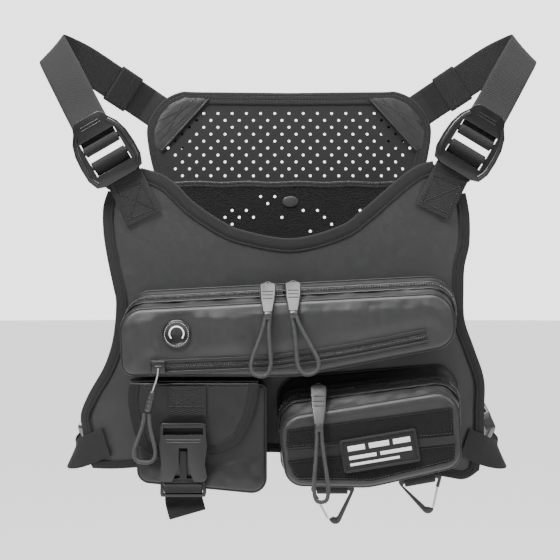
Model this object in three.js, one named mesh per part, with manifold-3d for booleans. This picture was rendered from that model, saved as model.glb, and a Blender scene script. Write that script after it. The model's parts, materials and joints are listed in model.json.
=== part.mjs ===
// Utility chest vest: a flat front panel with pockets, a back panel behind the
// wearer's shoulders, and webbing that joins them. Millimetres, +Z up. The wearer
// stands at +Y of the front panel, so everything on the outside faces -Y.
// The origin is on the chest face, the wearer's side of the front panel.
import * as THREE from 'three';
import { mergeVertices } from 'three/addons/utils/BufferGeometryUtils.js';
import Module from 'manifold-3d';

const wasm = await Module();
wasm.setup();

// ---------------------------------------------------------------- driving sizes
const GAP = 0.3;               // clearance between neighbouring pieces
const WEBBING = 38;            // shoulder and pouch webbing width
const WEB_THICK = 1.6;
const SIDE_WEBBING = 30;
const CORD = 4;                // cord loop diameter
const LINING = 2;              // spacer mesh on the wearer's side
const PANEL = 2;               // coated shell of the front panel
const PANEL_FRONT = -(LINING + GAP + PANEL);

const NECK_TAPE = 15;          // visible widths of the edge bindings
const SIDE_TAPE = 12.5;
const HEM_TAPE = 9;
const TAPE_THICK = 1;          // binding stands proud of the face by this
const POCKET_BACK = PANEL_FRONT - TAPE_THICK - GAP;
const WING_START = 150;        // beyond this the panel turns back round the ribs
const WING_CURVE = 0.006;
const WING_END = 210;
const WING_STEP = 12;
const BACK_Y = 130;            // wearer's side of the back panel
const BACK_THICK = 4;
const BACK_TAPE = 14.5;
const WALL = 1.6;              // pocket fabric

// ------------------------------------------------------------------- materials
const material = (color, roughness, metalness = 0) =>
  new THREE.MeshStandardMaterial({ color, roughness, metalness });
const coated = material(0x3b3d3d, 0.55);
const darkCloth = material(0x232424, 0.8);
const mesh3d = material(0x1b1c1c, 0.95);
const tape = material(0x2c2d2d, 0.85);
const web = material(0x343434, 0.85);
const plastic = material(0x262627, 0.4);
const rubber = material(0x55585a, 0.6);
const cordage = material(0x47494a, 0.8);
const teeth = material(0x1e1f20, 0.45);
const metal = material(0x8a8c8e, 0.35, 0.9);
const fleece = material(0x1a1a1b, 1);

// ------------------------------------------------------------------ basic tools
const part = new THREE.Group();
part.name = 'utility_chest_vest';

function add(name, geometry, finish, parent = part) {
  const mesh = new THREE.Mesh(geometry, finish);
  mesh.name = name;
  parent.add(mesh);
  return mesh;
}

function frameAt(x, y, z, tiltDegrees = 0, parent = part) {
  const group = new THREE.Group();
  group.position.set(x, y, z);
  group.rotation.y = -THREE.MathUtils.degToRad(tiltDegrees);
  parent.add(group);
  return group;
}

function place(mesh, matrix) {
  matrix.decompose(mesh.position, mesh.quaternion, mesh.scale);
  return mesh;
}

function solid(geometry) {
  const bare = geometry.clone();
  for (const key of Object.keys(bare.attributes)) {
    if (key !== 'position') bare.deleteAttribute(key);
  }
  const merged = mergeVertices(bare, 1e-4);
  return new wasm.Manifold(new wasm.Mesh({
    numProp: 3,
    vertProperties: new Float32Array(merged.attributes.position.array),
    triVerts: new Uint32Array(merged.index.array),
  }));
}

function geometryOf(manifold) {
  const mesh = manifold.getMesh();
  const geometry = new THREE.BufferGeometry();
  geometry.setAttribute('position', new THREE.BufferAttribute(mesh.vertProperties, 3));
  geometry.setIndex(new THREE.BufferAttribute(mesh.triVerts, 1));
  return geometry;
}

const cut = (body, ...tools) =>
  geometryOf(tools.reduce((left, tool) => left.subtract(solid(tool)), solid(body)));
const join = (body, ...others) =>
  geometryOf(others.reduce((sum, other) => sum.add(solid(other)), solid(body)));
const meet = (one, other) => geometryOf(solid(one).intersect(solid(other)));

function box(width, depth, height, x = 0, y = 0, z = 0) {
  return new THREE.BoxGeometry(width, depth, height).translate(x, y, z);
}

const shapeOf = (points) => new THREE.Shape(points.map((p) => new THREE.Vector2(p.x, p.y)));
const flat = (pairs) => pairs.map(([x, z]) => new THREE.Vector2(x, z));

// A flat outline in X and Z, thickened from y = back to y = front.
function plate(points, back, front) {
  const geometry = new THREE.ExtrudeGeometry(shapeOf(points), {
    depth: back - front, bevelEnabled: false,
  });
  return geometry.rotateX(Math.PI / 2).translate(0, back, 0);
}

// A smooth run through a few points, in X and Z.
function smooth(pairs, perSpan = 3) {
  return new THREE.SplineCurve(flat(pairs)).getPoints((pairs.length - 1) * perSpan);
}

// Moves a line sideways, to the left of the way it runs.
function offset(points, distance, closed = false) {
  const count = points.length;
  return points.map((point, i) => {
    const before = points[closed ? (i + count - 1) % count : Math.max(i - 1, 0)];
    const after = points[closed ? (i + 1) % count : Math.min(i + 1, count - 1)];
    const way = after.clone().sub(before).normalize();
    return new THREE.Vector2(point.x - way.y * distance, point.y + way.x * distance);
  });
}

// The flat strip between two sideways moves of one run, lengthened at both ends.
function strip(run, from, to, spare = 0) {
  const line = run.map((p) => p.clone());
  if (spare > 0) {
    const head = line[0].clone().sub(line[1]).setLength(spare).add(line[0]);
    const last = line.length - 1;
    const tail = line[last].clone().sub(line[last - 1]).setLength(spare).add(line[last]);
    line.unshift(head);
    line.push(tail);
  }
  return [...offset(line, from), ...offset(line, to).reverse()];
}

// A closed solid through rings that all have the same number of points.
function loft(rings) {
  const count = rings[0].length;
  const positions = [];
  for (const ring of rings) {
    for (const p of ring) positions.push(p.x, p.y, p.z);
  }
  const index = [];
  for (let r = 0; r < rings.length - 1; r += 1) {
    for (let i = 0; i < count; i += 1) {
      const a = r * count + i;
      const b = r * count + (i + 1) % count;
      index.push(a, b, a + count, b, b + count, a + count);
    }
  }
  const cap = (ring, start, flip) => {
    const origin = ring[0];
    const across = ring[1].clone().sub(origin).normalize();
    const normal = new THREE.Vector3();
    ring.forEach((p, i) => {
      const q = ring[(i + 1) % count];
      normal.add(new THREE.Vector3().crossVectors(p.clone().sub(origin), q.clone().sub(origin)));
    });
    normal.normalize();
    const up = new THREE.Vector3().crossVectors(normal, across);
    const outline = ring.map((p) => {
      const d = p.clone().sub(origin);
      return new THREE.Vector2(d.dot(across), d.dot(up));
    });
    for (const [a, b, c] of THREE.ShapeUtils.triangulateShape(outline, [])) {
      index.push(...(flip ? [start + a, start + c, start + b] : [start + a, start + b, start + c]));
    }
  };
  cap(rings[0], 0, true);
  cap(rings[rings.length - 1], (rings.length - 1) * count, false);
  const geometry = new THREE.BufferGeometry();
  geometry.setAttribute('position', new THREE.Float32BufferAttribute(positions, 3));
  geometry.setIndex(index);
  return facingOut(geometry);
}

function facingOut(geometry) {
  const at = geometry.attributes.position;
  const index = Array.from(geometry.index.array);
  const [a, b, c] = [new THREE.Vector3(), new THREE.Vector3(), new THREE.Vector3()];
  let volume = 0;
  for (let i = 0; i < index.length; i += 3) {
    a.fromBufferAttribute(at, index[i]);
    b.fromBufferAttribute(at, index[i + 1]);
    c.fromBufferAttribute(at, index[i + 2]);
    volume += a.dot(b.cross(c));
  }
  if (volume < 0) {
    for (let i = 0; i < index.length; i += 3) {
      [index[i + 1], index[i + 2]] = [index[i + 2], index[i + 1]];
    }
    geometry.setIndex(index);
  }
  return geometry;
}

// Webbing along a path. Each stop is a point and the way that the width lies.
function band(stops, width, thickness) {
  const last = stops.length - 1;
  return loft(stops.map(({ at, across }, i) => {
    const way = stops[Math.min(i + 1, last)].at.clone().sub(stops[Math.max(i - 1, 0)].at).normalize();
    const side = across.clone().addScaledVector(way, -across.dot(way)).setLength(width / 2);
    const out = new THREE.Vector3().crossVectors(side, way).setLength(thickness / 2);
    return [[-1, -1], [1, -1], [1, 1], [-1, 1]].map(([s, o]) =>
      at.clone().addScaledVector(side, s).addScaledVector(out, o));
  }));
}

// The same stops with more between them, so that a band that turns is smooth.
function finer(stops, times) {
  const line = new THREE.CatmullRomCurve3(stops.map(({ at }) => at), false, 'centripetal');
  const count = (stops.length - 1) * times;
  return Array.from({ length: count + 1 }, (_, k) => {
    const i = Math.min(Math.floor(k / times), stops.length - 2);
    const across = stops[i].across.clone().lerp(stops[i + 1].across, k / times - i);
    return { at: line.getPoint(k / count), across };
  });
}

// Where the width of a flat band lies: degrees from +X towards +Z.
function acrossAt(degrees, sign = 1) {
  const a = THREE.MathUtils.degToRad(degrees);
  return new THREE.Vector3(sign * Math.cos(a), 0, Math.sin(a));
}

function tube(points, diameter, steps, sides = 8) {
  const circle = new THREE.Shape();
  circle.absarc(0, 0, diameter / 2, 0, Math.PI * 2);
  return new THREE.ExtrudeGeometry(circle, {
    extrudePath: new THREE.CatmullRomCurve3(points, false, 'centripetal'),
    steps,
    curveSegments: sides / 2,
    bevelEnabled: false,
  });
}

// --------------------------------------------------------------- front panel
// Edge runs go round with the panel on their left.
const hemRun = smooth([[-197, -153], [-171, -152], [-120, -147], [-60, -139], [-15, -135],
  [40, -140], [110, -150], [160, -160], [180, -163], [195, -155]], 2);
const rightRun = smooth([[195, -155], [200, -125], [200.5, -94], [200.5, -62], [190, -30],
  [180, -1], [179, 30], [180, 54], [185, 77], [185, 106], [181, 129]], 2);
const neckRun = smooth([[148, 161], [136, 158], [122, 150], [99, 131], [76, 111], [53, 95],
  [6, 82.5], [-42, 90], [-66, 100], [-94, 119], [-112, 137], [-128, 148], [-148, 154]], 2);
const leftRun = smooth([[-181, 131], [-186, 115], [-186, 90], [-182, 63], [-176, 34],
  [-173, 16], [-176, -19], [-185, -48], [-201, -76], [-210, -98], [-208, -116],
  [-204, -138], [-197, -153]], 2);
const panelOutline = [...hemRun, ...rightRun.slice(1), ...neckRun, ...leftRun.slice(0, -1)];

const wingBack = (x) => WING_CURVE * Math.max(0, Math.abs(x) - WING_START) ** 2;

// A slab that follows the turn of the wings, for cutting every flat layer from.
function wingSlab(back, front) {
  const reach = WING_END + 20;
  const wing = [];
  for (let x = WING_START; x <= WING_END; x += WING_STEP) wing.push(x);
  wing.push(reach);
  const stations = [...wing.map((x) => -x).reverse(), ...wing];
  const rear = stations.map((x) => new THREE.Vector2(x, back + wingBack(x)));
  const fore = stations.map((x) => new THREE.Vector2(x, front + wingBack(x))).reverse();
  const geometry = new THREE.ExtrudeGeometry(shapeOf([...rear, ...fore].reverse()), {
    depth: 2 * reach, bevelEnabled: false,
  });
  return geometry.translate(0, 0, -reach);
}

const THROUGH = 60;            // cutting tools reach this far past the flat layers
const layer = (outline, back, front) =>
  meet(wingSlab(back, front), plate(outline, THROUGH, -THROUGH));

const OVER_EDGE = 3;           // and this far past the outline
function edgeStrips() {
  const edges = [[hemRun, HEM_TAPE], [rightRun, SIDE_TAPE], [neckRun, NECK_TAPE], [leftRun, SIDE_TAPE]];
  return edges.map(([run, width]) =>
    plate(strip(run, -OVER_EDGE, width + GAP, OVER_EDGE), THROUGH, -THROUGH));
}

function frontPanel() {
  const clear = edgeStrips();
  add('front_panel', cut(layer(panelOutline, -(LINING + GAP), PANEL_FRONT), ...clear), coated);
  add('chest_lining', cut(layer(panelOutline, 0, -LINING), ...clear), mesh3d);
  const inside = (run, width) => layer(strip(run, 0, width), 0, PANEL_FRONT - TAPE_THICK);
  const [, right, , left] = clear;
  add('hem_binding', cut(inside(hemRun, HEM_TAPE), right, left), tape);
  add('side_binding_right', inside(rightRun, SIDE_TAPE), tape);
  add('neck_binding', inside(neckRun, NECK_TAPE), tape);
  add('side_binding_left', inside(leftRun, SIDE_TAPE), tape);
}

// ------------------------------------------------------------ shoulder webbing
const LOCK = { thick: 6, y: -10.5, halfWindow: 20, windowLow: -20, windowHigh: 17 };
const BAR_END = 2;             // the bars run this far into the cheeks
const BAR = { low: -9.5, high: 7.5, half: 3 };
// The vest hangs a little unevenly, so left and right each have their own places.
const sides = [
  {
    name: 'left', sign: -1, x: -184, z: 171, tilt: 30, lift: 0,
    anchor: { foot: [-144.5, 102.5], head: [-164, 142], lean: 22 },
    edge: 208,
  },
  {
    name: 'right', sign: 1, x: 187, z: 178, tilt: -31, lift: 7,
    anchor: { foot: [147.5, 109], head: [167, 149], lean: -23 },
    edge: 205,
  },
];

// Half outline of the ladder lock from the bottom bar to the tab: half width, height.
const lockHalf = [[17, -33], [26, -30], [30, -20], [30.5, -6], [29.5, 8], [26, 20], [20, 29],
  [18, 34], [13, 38]];

function lockPoint(side, u, v, y) {
  const a = THREE.MathUtils.degToRad(side.tilt);
  return new THREE.Vector3(
    side.x + u * Math.cos(a) - v * Math.sin(a), y, side.z + u * Math.sin(a) + v * Math.cos(a));
}

function ladderLock(side) {
  const right = flat(lockHalf);
  const left = flat(lockHalf.map(([u, v]) => [-u, v])).reverse();
  const body = plate([...right, ...left], LOCK.y + LOCK.thick / 2, LOCK.y - LOCK.thick / 2);
  const window = box(LOCK.halfWindow * 2, THROUGH, LOCK.windowHigh - LOCK.windowLow, 0, LOCK.y,
    (LOCK.windowLow + LOCK.windowHigh) / 2);
  const barLength = 2 * (LOCK.halfWindow + BAR_END);
  const bar = (height) => new THREE.CylinderGeometry(BAR.half, BAR.half, barLength, 8)
    .rotateZ(Math.PI / 2).translate(0, LOCK.y, height);
  const frame = frameAt(side.x, 0, side.z, side.tilt);
  const ladder = join(cut(body, window), bar(BAR.low), bar(BAR.high));
  add(`ladder_lock_${side.name}`, ladder, plastic, frame);
}

// Webbing goes round a bar at this distance from its centre. Each turn below is a
// list of heights above the bar and depths behind the lock's middle plane.
const WRAP = BAR.half + 0.4 + WEB_THICK / 2;
const onLock = (side, turns) => turns.map(([v, depth]) => lockPoint(side, 0, v, LOCK.y + depth));

function shoulderAnchor(side) {
  const front = PANEL_FRONT - TAPE_THICK - GAP - WEB_THICK / 2;
  const { foot, head, lean } = side.anchor;
  const sewn = [foot, head].map(([x, z]) => new THREE.Vector3(x, front, z));
  const round = onLock(side, [
    [-28, WRAP], [-20.5, WRAP], [BAR.low - WRAP, 0], [BAR.low - WRAP * 0.7, -WRAP * 0.75],
    [BAR.low, -WRAP], [BAR.low + WRAP * 0.7, -WRAP * 0.75], [BAR.low + WRAP, 0],
    [BAR.low + WRAP * 0.7, WRAP * 0.75], [BAR.low, WRAP + 0.3], [-20, WRAP + 2.2],
    [-31, WRAP + 2.4],
  ]);
  const stops = [
    ...sewn.map((at) => ({ at, across: acrossAt(lean) })),
    ...round.map((at) => ({ at, across: acrossAt(side.tilt) })),
  ];
  add(`shoulder_anchor_${side.name}`, band(stops, WEBBING, WEB_THICK), web);
}

// The strap turns back on itself round the lock's upper bar, so its tail lies
// between the lock and the strap, which runs over the shoulder and down to the
// outside of the back panel.
const STRAP_BACK_Y = BACK_Y + BACK_THICK + TAPE_THICK + 2;
const STRAP_MIDDLE = 1.5;      // both straps are placed about this X
const overShoulder = (lift) => [
  [212, 10, 217 + lift * 0.6, 30], [231, 26, 252 + lift * 0.3, 34], [246, 48, 278, 42],
  [250, 66, 286, 50], [240, 84, 284, 55], [220, 98, 275, 57], [188, 117.5, 255, 57],
  [172, 127.25, 245, 57], [156, STRAP_BACK_Y, 235, 57], [134, STRAP_BACK_Y, 220, 57],
  [106, STRAP_BACK_Y, 201, 57],
];

function strapRoute(side) {
  const round = onLock(side, [
    [33, WRAP + 0.9], [18.5, WRAP + 0.4], [14.3, WRAP - 0.5], [BAR.high + WRAP, 1],
    [BAR.high + WRAP * 0.75, -WRAP * 0.75], [BAR.high, -WRAP],
    [BAR.high - WRAP * 0.75, -WRAP * 0.75], [BAR.high - WRAP * 1.1, WRAP * 0.4],
    [BAR.high - 3, WRAP + 0.4], [BAR.high + 1.5, WRAP + 1.7], [16, WRAP + 2.7], [30, WRAP + 3.3],
  ]);
  const tilt = Math.abs(side.tilt);
  return [
    ...round.map((at) => ({ at, across: acrossAt(tilt, -side.sign) })),
    ...overShoulder(side.lift).map(([x, y, z, degrees]) => ({
      at: new THREE.Vector3(side.sign * x + STRAP_MIDDLE, y, z),
      across: acrossAt(degrees, -side.sign),
    })),
  ];
}

function shoulderStrap(side) {
  add(`shoulder_strap_${side.name}`, band(strapRoute(side), WEBBING, WEB_THICK), web);
}

// An elastic loop round the strap's straight stretch above the back panel.
const KEEPER = { length: 27, thick: 1.4, clear: 0.6, along: 0.4 };
function keeper(side) {
  const route = strapRoute(side);
  const [from, to] = [route[route.length - 5], route[route.length - 4]];
  const way = to.at.clone().sub(from.at).normalize();
  const middle = from.at.clone().lerp(to.at, KEEPER.along);
  const across = from.across.clone().addScaledVector(way, -from.across.dot(way)).normalize();
  const out = new THREE.Vector3().crossVectors(way, across);
  const sleeve = (spare, length) => box(WEBBING + 2 * spare, WEB_THICK + 2 * spare, length);
  const shell = cut(sleeve(KEEPER.clear + KEEPER.thick, KEEPER.length),
    sleeve(KEEPER.clear, KEEPER.length + 2));
  place(add(`strap_keeper_${side.name}`, shell, tape),
    new THREE.Matrix4().makeBasis(across, out, way).setPosition(middle));
}

// ------------------------------------------------------------------ back panel
const backHalf = [[0, 248], [100, 249], [120, 249], [139, 240], [152, 224], [158, 207],
  [155, 180], [148, 150], [138, 100], [128, 50], [120, 30], [104, 20], [60, 18], [0, 18]];
const BACK_X = 3;
function backOutline() {
  const half = new THREE.SplineCurve(flat(backHalf)).getPoints(2 * backHalf.length);
  const turned = (sign) => half.slice(1, -1)
    .map((p) => new THREE.Vector2(BACK_X + sign * p.x, p.y));
  const [top, bottom] = [half[0], half[half.length - 1]]
    .map((p) => new THREE.Vector2(BACK_X, p.y));
  return [top, ...turned(-1), bottom, ...turned(1).reverse()];
}

function backPanel() {
  const outer = backOutline();
  const inner = offset(outer, BACK_TAPE, true);
  add('back_panel', plate(offset(inner, GAP, true), BACK_Y + BACK_THICK, BACK_Y), mesh3d);
  const rim = plate(outer, BACK_Y + BACK_THICK + TAPE_THICK, BACK_Y - TAPE_THICK);
  add('back_binding', cut(rim, plate(inner, BACK_Y + THROUGH, BACK_Y - THROUGH)), tape);
}

// -------------------------------------------------------------------- pockets
// Corners go round from the lower right with the pocket on their left.
function roundedPolygon(corners, radii, arcSteps, edgeSteps) {
  const count = corners.length;
  const arcs = corners.map((corner, k) => {
    const before = corners[(k + count - 1) % count];
    const after = corners[(k + 1) % count];
    const a = before.clone().sub(corner).normalize();
    const b = after.clone().sub(corner).normalize();
    const half = Math.acos(THREE.MathUtils.clamp(a.dot(b), -1, 1)) / 2;
    const reach = radii[k] / Math.tan(half);
    const centre = a.clone().add(b).setLength(radii[k] / Math.sin(half)).add(corner);
    const first = a.multiplyScalar(reach).add(corner).sub(centre);
    const second = b.multiplyScalar(reach).add(corner).sub(centre);
    const turn = Math.atan2(first.cross(second), first.dot(second));
    return Array.from({ length: arcSteps + 1 }, (_, i) =>
      first.clone().rotateAround(new THREE.Vector2(), (turn * i) / arcSteps).add(centre));
  });
  const points = [];
  arcs.forEach((arc, k) => {
    points.push(...arc);
    const next = arcs[(k + 1) % count][0];
    for (let i = 1; i < edgeSteps; i += 1) {
      points.push(arc[arcSteps].clone().lerp(next, i / edgeSteps));
    }
  });
  return points;
}

const ARC = 5;                 // steps round each corner
const EDGE = 4;                // and along each straight side
const SPAN = ARC + EDGE;
const TOP_CORNER = 2;          // the zip starts down the side before this corner
const ZIP_DOWN = 0.45;         // by this share of that side
const NEAR = 0.02;             // a small step along a ring, for its direction
const ringAt = (points, y) => points.map((p) => new THREE.Vector3(p.x, y, p.y));

function pocketRings(pocket) {
  const back = roundedPolygon(flat(pocket.back), pocket.radii, ARC, EDGE);
  const front = roundedPolygon(flat(pocket.front), pocket.radii, ARC, EDGE);
  return { back, front };
}

const POCKET_STEP = POCKET_BACK - 3;     // the gusset leaves the panel squarely this far

function pocketShell(pocket) {
  const { back, front } = pocketRings(pocket);
  const { face, crown } = pocket;
  const outer = loft([
    ringAt(back, POCKET_BACK), ringAt(back, POCKET_STEP), ringAt(front, face + crown),
    ringAt(offset(front, crown, true), face),
  ]);
  const lined = offset(back, WALL, true);
  const inner = loft([
    ringAt(lined, pocket.backWall ? POCKET_BACK - WALL : POCKET_BACK + WALL),
    ringAt(lined, pocket.backWall ? POCKET_STEP - 1 : POCKET_STEP),
    ringAt(offset(front, WALL, true), face + crown + WALL * 0.4),
    ringAt(offset(front, crown + WALL, true), face + WALL),
  ]);
  return { outer, inner };
}

// A strip on the gusset, from one side over the top to the other. Low and high are
// shares of the way from the panel to the face; under and over are heights above it.
function gussetStrip(pocket, low, high, under, over) {
  const { back, front } = pocketRings(pocket);
  const rear = ringAt(back, POCKET_STEP);
  const fore = ringAt(front, pocket.face + pocket.crown);
  const at = (ring, p) => {
    const k = Math.floor(p);
    return ring[k % ring.length].clone().lerp(ring[(k + 1) % ring.length], p - k);
  };
  const first = TOP_CORNER * SPAN - EDGE * ZIP_DOWN;
  const last = (TOP_CORNER + 1) * SPAN + ARC + EDGE * ZIP_DOWN;
  const stops = [first];
  for (let p = Math.ceil(first + 0.01); p < last - 0.01; p += 1) stops.push(p);
  stops.push(last);
  return stops.map((p) => {
    const a = at(rear, p);
    const b = at(fore, p);
    const slope = b.clone().sub(a);
    const way = [rear, fore].reduce(
      (sum, ring) => sum.add(at(ring, p + NEAR)).sub(at(ring, p - NEAR)), new THREE.Vector3());
    const normal = new THREE.Vector3().crossVectors(way, slope).normalize();
    const point = (share, height) => a.clone().addScaledVector(slope, share)
      .addScaledVector(normal, height);
    return [point(low, under), point(low, over), point(high, over), point(high, under)];
  });
}

const mainPocket = {
  name: 'main_pocket',
  back: [[12, -52], [172, -20], [167, 44], [-159, 27], [-157, -50]],
  front: [[12, -54], [166, -24], [163, 27], [-165, 10], [-162, -54]],
  radii: [60, 22, 24, 22, 12],
  face: -50, crown: 3.5, backWall: false, chain: [0.38, 0.57],
};
const rightPocket = {
  name: 'right_pocket',
  back: [[80, -160], [172, -141], [172, -45], [-10, -60], [-4, -158]],
  front: [[80, -164], [172, -143], [168, -68], [-9, -96], [0, -162]],
  radii: [80, 18, 22, 22, 18],
  face: -50, crown: 3.5, backWall: true, chain: [0.4, 0.6],
};

function zipPocket(pocket, chainName) {
  const { outer, inner } = pocketShell(pocket);
  const [low, high] = pocket.chain;
  const margin = (high - low) / 12;
  const slit = loft(gussetStrip(pocket, low + margin, high - margin, -2 * WALL, 2 * WALL));
  add(`${pocket.name}_shell`, cut(outer, inner, slit), coated);
  add(chainName, loft(gussetStrip(pocket, low, high, 0.6, 2.4)), teeth);
}

// A frame on the zip of a pocket's top: X along it, Y across it, Z out of the fabric.
function zipFrame(pocket, x) {
  const { back, front } = pocketRings(pocket);
  const ends = [TOP_CORNER * SPAN + ARC, (TOP_CORNER + 1) * SPAN];
  const rear = ends.map((i) => new THREE.Vector3(back[i].x, POCKET_STEP, back[i].y));
  const fore = ends.map((i) => new THREE.Vector3(front[i].x, pocket.face + pocket.crown, front[i].y));
  const share = (pocket.chain[0] + pocket.chain[1]) / 2;
  const [a, b] = rear.map((point, i) => point.clone().lerp(fore[i], share));
  const along = a.clone().sub(b).normalize();
  const slope = fore[0].clone().sub(rear[0]).add(fore[1]).sub(rear[1]).setX(0);
  slope.addScaledVector(along, -slope.dot(along)).normalize();
  const out = new THREE.Vector3().crossVectors(slope, along);
  const at = a.clone().lerp(b, (x - a.x) / (b.x - a.x));
  return new THREE.Matrix4().makeBasis(along, slope.negate(), out).setPosition(at);
}

// Slider: X along the zip, Y across it, Z away from the fabric.
function sliderBody() {
  const body = box(12, 14, 4.4, 0, 0, 3.2);
  const channel = box(20, 11, 2.4, 0, 0, 1.7);
  const bridge = box(8, 3.2, 3.4, 0, 0, 6.6);
  const eye = box(4.6, 6, 1.6, 0, 0, 6.4);
  return join(cut(body, channel), cut(bridge, eye));
}

const LOOP_STEPS = 26;
// Half of a cord loop below its neck: share of the half width, share of the drop.
const loopHalf = [[0, 0], [0.02, -0.1], [0.12, -0.22], [0.34, -0.38], [0.64, -0.55],
  [0.9, -0.7], [1, -0.82], [0.82, -0.93], [0.4, -0.985]];

function cordLoop(name, [x, y, z], lean, width, drop) {
  const a = THREE.MathUtils.degToRad(lean);
  const half = (width - CORD) / 2;
  const start = CORD / 2 + 0.25;
  const fall = drop - CORD / 2;
  const turn = (u, v) => new THREE.Vector3(
    x + u * Math.cos(a) - v * Math.sin(a), y, z + u * Math.sin(a) + v * Math.cos(a));
  const down = loopHalf.map(([share, v]) => [start + (half - start) * share, v * fall]);
  const points = [
    ...down.map(([u, v]) => turn(-u, v)), turn(0, -fall),
    ...down.reverse().map(([u, v]) => turn(u, v)),
  ];
  add(name, tube(points, CORD, LOOP_STEPS), cordage);
}

const PULL_HALF = 2.2;         // half the head's thickness
// Moulded pull: a tapered head that lies from the slider over the pocket's edge.
function pullHead(name, from, to, width) {
  const length = Math.hypot(to[1] - from[1], to[2] - from[2]);
  const half = width / 2;
  const outline = flat([[-half + 2, 0], [half - 2, 0], [half, -3], [half - 1, -length * 0.55],
    [4.6, -length + 1], [4.2, -length], [-4.2, -length], [-4.6, -length + 1],
    [-half + 1, -length * 0.55], [-half, -3]]);
  const mesh = add(name, plate(outline, PULL_HALF, -PULL_HALF), rubber);
  mesh.position.set(...from);
  mesh.rotation.x = Math.atan2(to[1] - from[1], from[2] - to[2]);
}

const pulls = [
  { name: 'main_left', pocket: mainPocket, x: -20, headX: -19, fall: 27, lean: -8, width: 23, drop: 61 },
  { name: 'main_right', pocket: mainPocket, x: 2, headX: 6, fall: 27, lean: 17, width: 24, drop: 62 },
  { name: 'right', pocket: rightPocket, x: 34, headX: 31, fall: 36, lean: 2, width: 18, drop: 74 },
];
const PULL_Y = -61;            // the cords hang this far out, clear of the faces
const PULL_WIDTH = 16;
const SLIDER_EYE = 9;          // height of the pull's pivot above the zip
const CORD_NECK = 2.8;         // the cord starts this far below the head

function zipPulls() {
  for (const pull of pulls) {
    const frame = zipFrame(pull.pocket, pull.x);
    place(add(`${pull.name}_slider`, sliderBody(), plastic), frame);
    const eye = new THREE.Vector3(0, 0, SLIDER_EYE).applyMatrix4(frame);
    const from = [pull.headX, eye.y - 4.5, eye.z + 1.5];
    const to = [pull.headX, PULL_Y, eye.z - pull.fall];
    pullHead(`${pull.name}_pull`, from, to, PULL_WIDTH);
    const neck = [pull.headX, PULL_Y, to[2] - CORD_NECK];
    cordLoop(`${pull.name}_cord`, neck, pull.lean, pull.width, pull.drop);
  }
}

// ----------------------------------------------------- face zip and its long pull
const FACE_ZIP_SLOPE = 0.04;    // straight as far as the cord loops, then it climbs
const faceZipAt = (x) => -46 + (x + 134) * FACE_ZIP_SLOPE;
const faceZipRun = smooth([...[-134, -104, -74, -44].map((x) => [x, faceZipAt(x)]),
  [-8, -40], [60, -30], [137, -15]], 2);
const FACE = mainPocket.face;
const FACE_SLIDER_X = -126;
const FACE_PULL_Y = -58.6;     // its wire, ferrule and cord hang at this depth

function faceZip() {
  const chain = plate(strip(faceZipRun, -3.4, 3.4), FACE - GAP, FACE - GAP - 1.8);
  add('face_zip_chain', chain, teeth);
  const sliderZ = faceZipAt(FACE_SLIDER_X);
  const tilt = THREE.MathUtils.radToDeg(Math.atan(FACE_ZIP_SLOPE));
  const frame = frameAt(FACE_SLIDER_X, FACE - GAP, sliderZ, tilt);
  const body = join(box(13, 4, 12, 0, -3.6, 0), box(7, 2, 3, 0, -6, 0));
  add('face_slider', cut(body, box(20, 2.7, 7.6, 0, -1.2, 0)), plastic, frame);
  const wire = [[FACE_SLIDER_X, -46], [-127.4, -56], [-131.4, -68]]
    .map(([x, z]) => new THREE.Vector3(x, FACE_PULL_Y, z));
  add('face_pull_wire', tube(wire, 2, 6), metal);
  const tip = add('face_pull_ferrule', new THREE.CapsuleGeometry(3.4, 13, 3, 10), rubber);
  tip.position.set(-134, FACE_PULL_Y, -79);
  tip.rotation.set(-Math.PI / 2, 0, THREE.MathUtils.degToRad(-14), 'YXZ');
  cordLoop('face_cord', [-137, FACE_PULL_Y, -90.2], -3, 25, 50);
  const port = new THREE.LatheGeometry(flat([[0, 0], [13.6, 0], [14, 1], [13, 2.4], [10.5, 2.6],
    [9.6, 1.6], [0, 1.6]]), 24);
  const disc = add('earphone_port', port, rubber);
  disc.position.set(-108.5, FACE - GAP, -13);
  disc.rotation.x = Math.PI;
}

// ------------------------------------------------------------------ flap pouch
const pouch = {
  back: [[-22, -168], [-22, -63], [-150, -63], [-147, -157]],
  front: [[-21, -171], [-21, -63], [-150, -63], [-147, -159]],
  radii: [14, 6, 6, 12], face: -44, crown: 3, backWall: true,
};
const flapLeft = smooth([[-156, -63], [-157, -82], [-151, -110], [-143, -127], [-125, -136]], 3);
const flapRight = smooth([[-66, -132], [-48, -122], [-37, -104], [-30, -84], [-27, -63]], 3);
const flapEdge = [...flapLeft, ...flapRight];     // sides and hem, open at the hinge
const FLAP = { back: -44.6, front: -46.8, tape: 11, proud: 0.8, webbing: [-66, -92] };
const BUCKLE = { x: -101.5, mouth: -157, y: -49.6 };

function flapPouch() {
  const { outer, inner } = pocketShell(pouch);
  const mouth = box(122, 36, 20, -86, -26, -62);
  add('flap_pouch_shell', cut(outer, inner, mouth), coated);
  add('pouch_top_cover', box(128, 38.6, 2.2, -92, POCKET_BACK - 19.6, -60.1), coated);
  const whole = plate(flapEdge, FLAP.back, FLAP.front);
  const taped = strip(flapEdge, -OVER_EDGE, FLAP.tape + GAP, OVER_EDGE);
  add('pouch_flap', cut(whole, plate(taped, THROUGH, -THROUGH * 2)), coated);
  const ribbon = plate(strip(flapEdge, 0, FLAP.tape), FLAP.back + 0.2, FLAP.front - FLAP.proud);
  add('flap_binding', ribbon, tape);
  const y = FLAP.front - FLAP.proud - GAP - WEB_THICK / 2;
  const stops = FLAP.webbing.map((z) => ({
    at: new THREE.Vector3(BUCKLE.x + 3, y, z), across: acrossAt(0),
  }));
  add('flap_webbing', band(stops, WEBBING, WEB_THICK), web);
}

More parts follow.
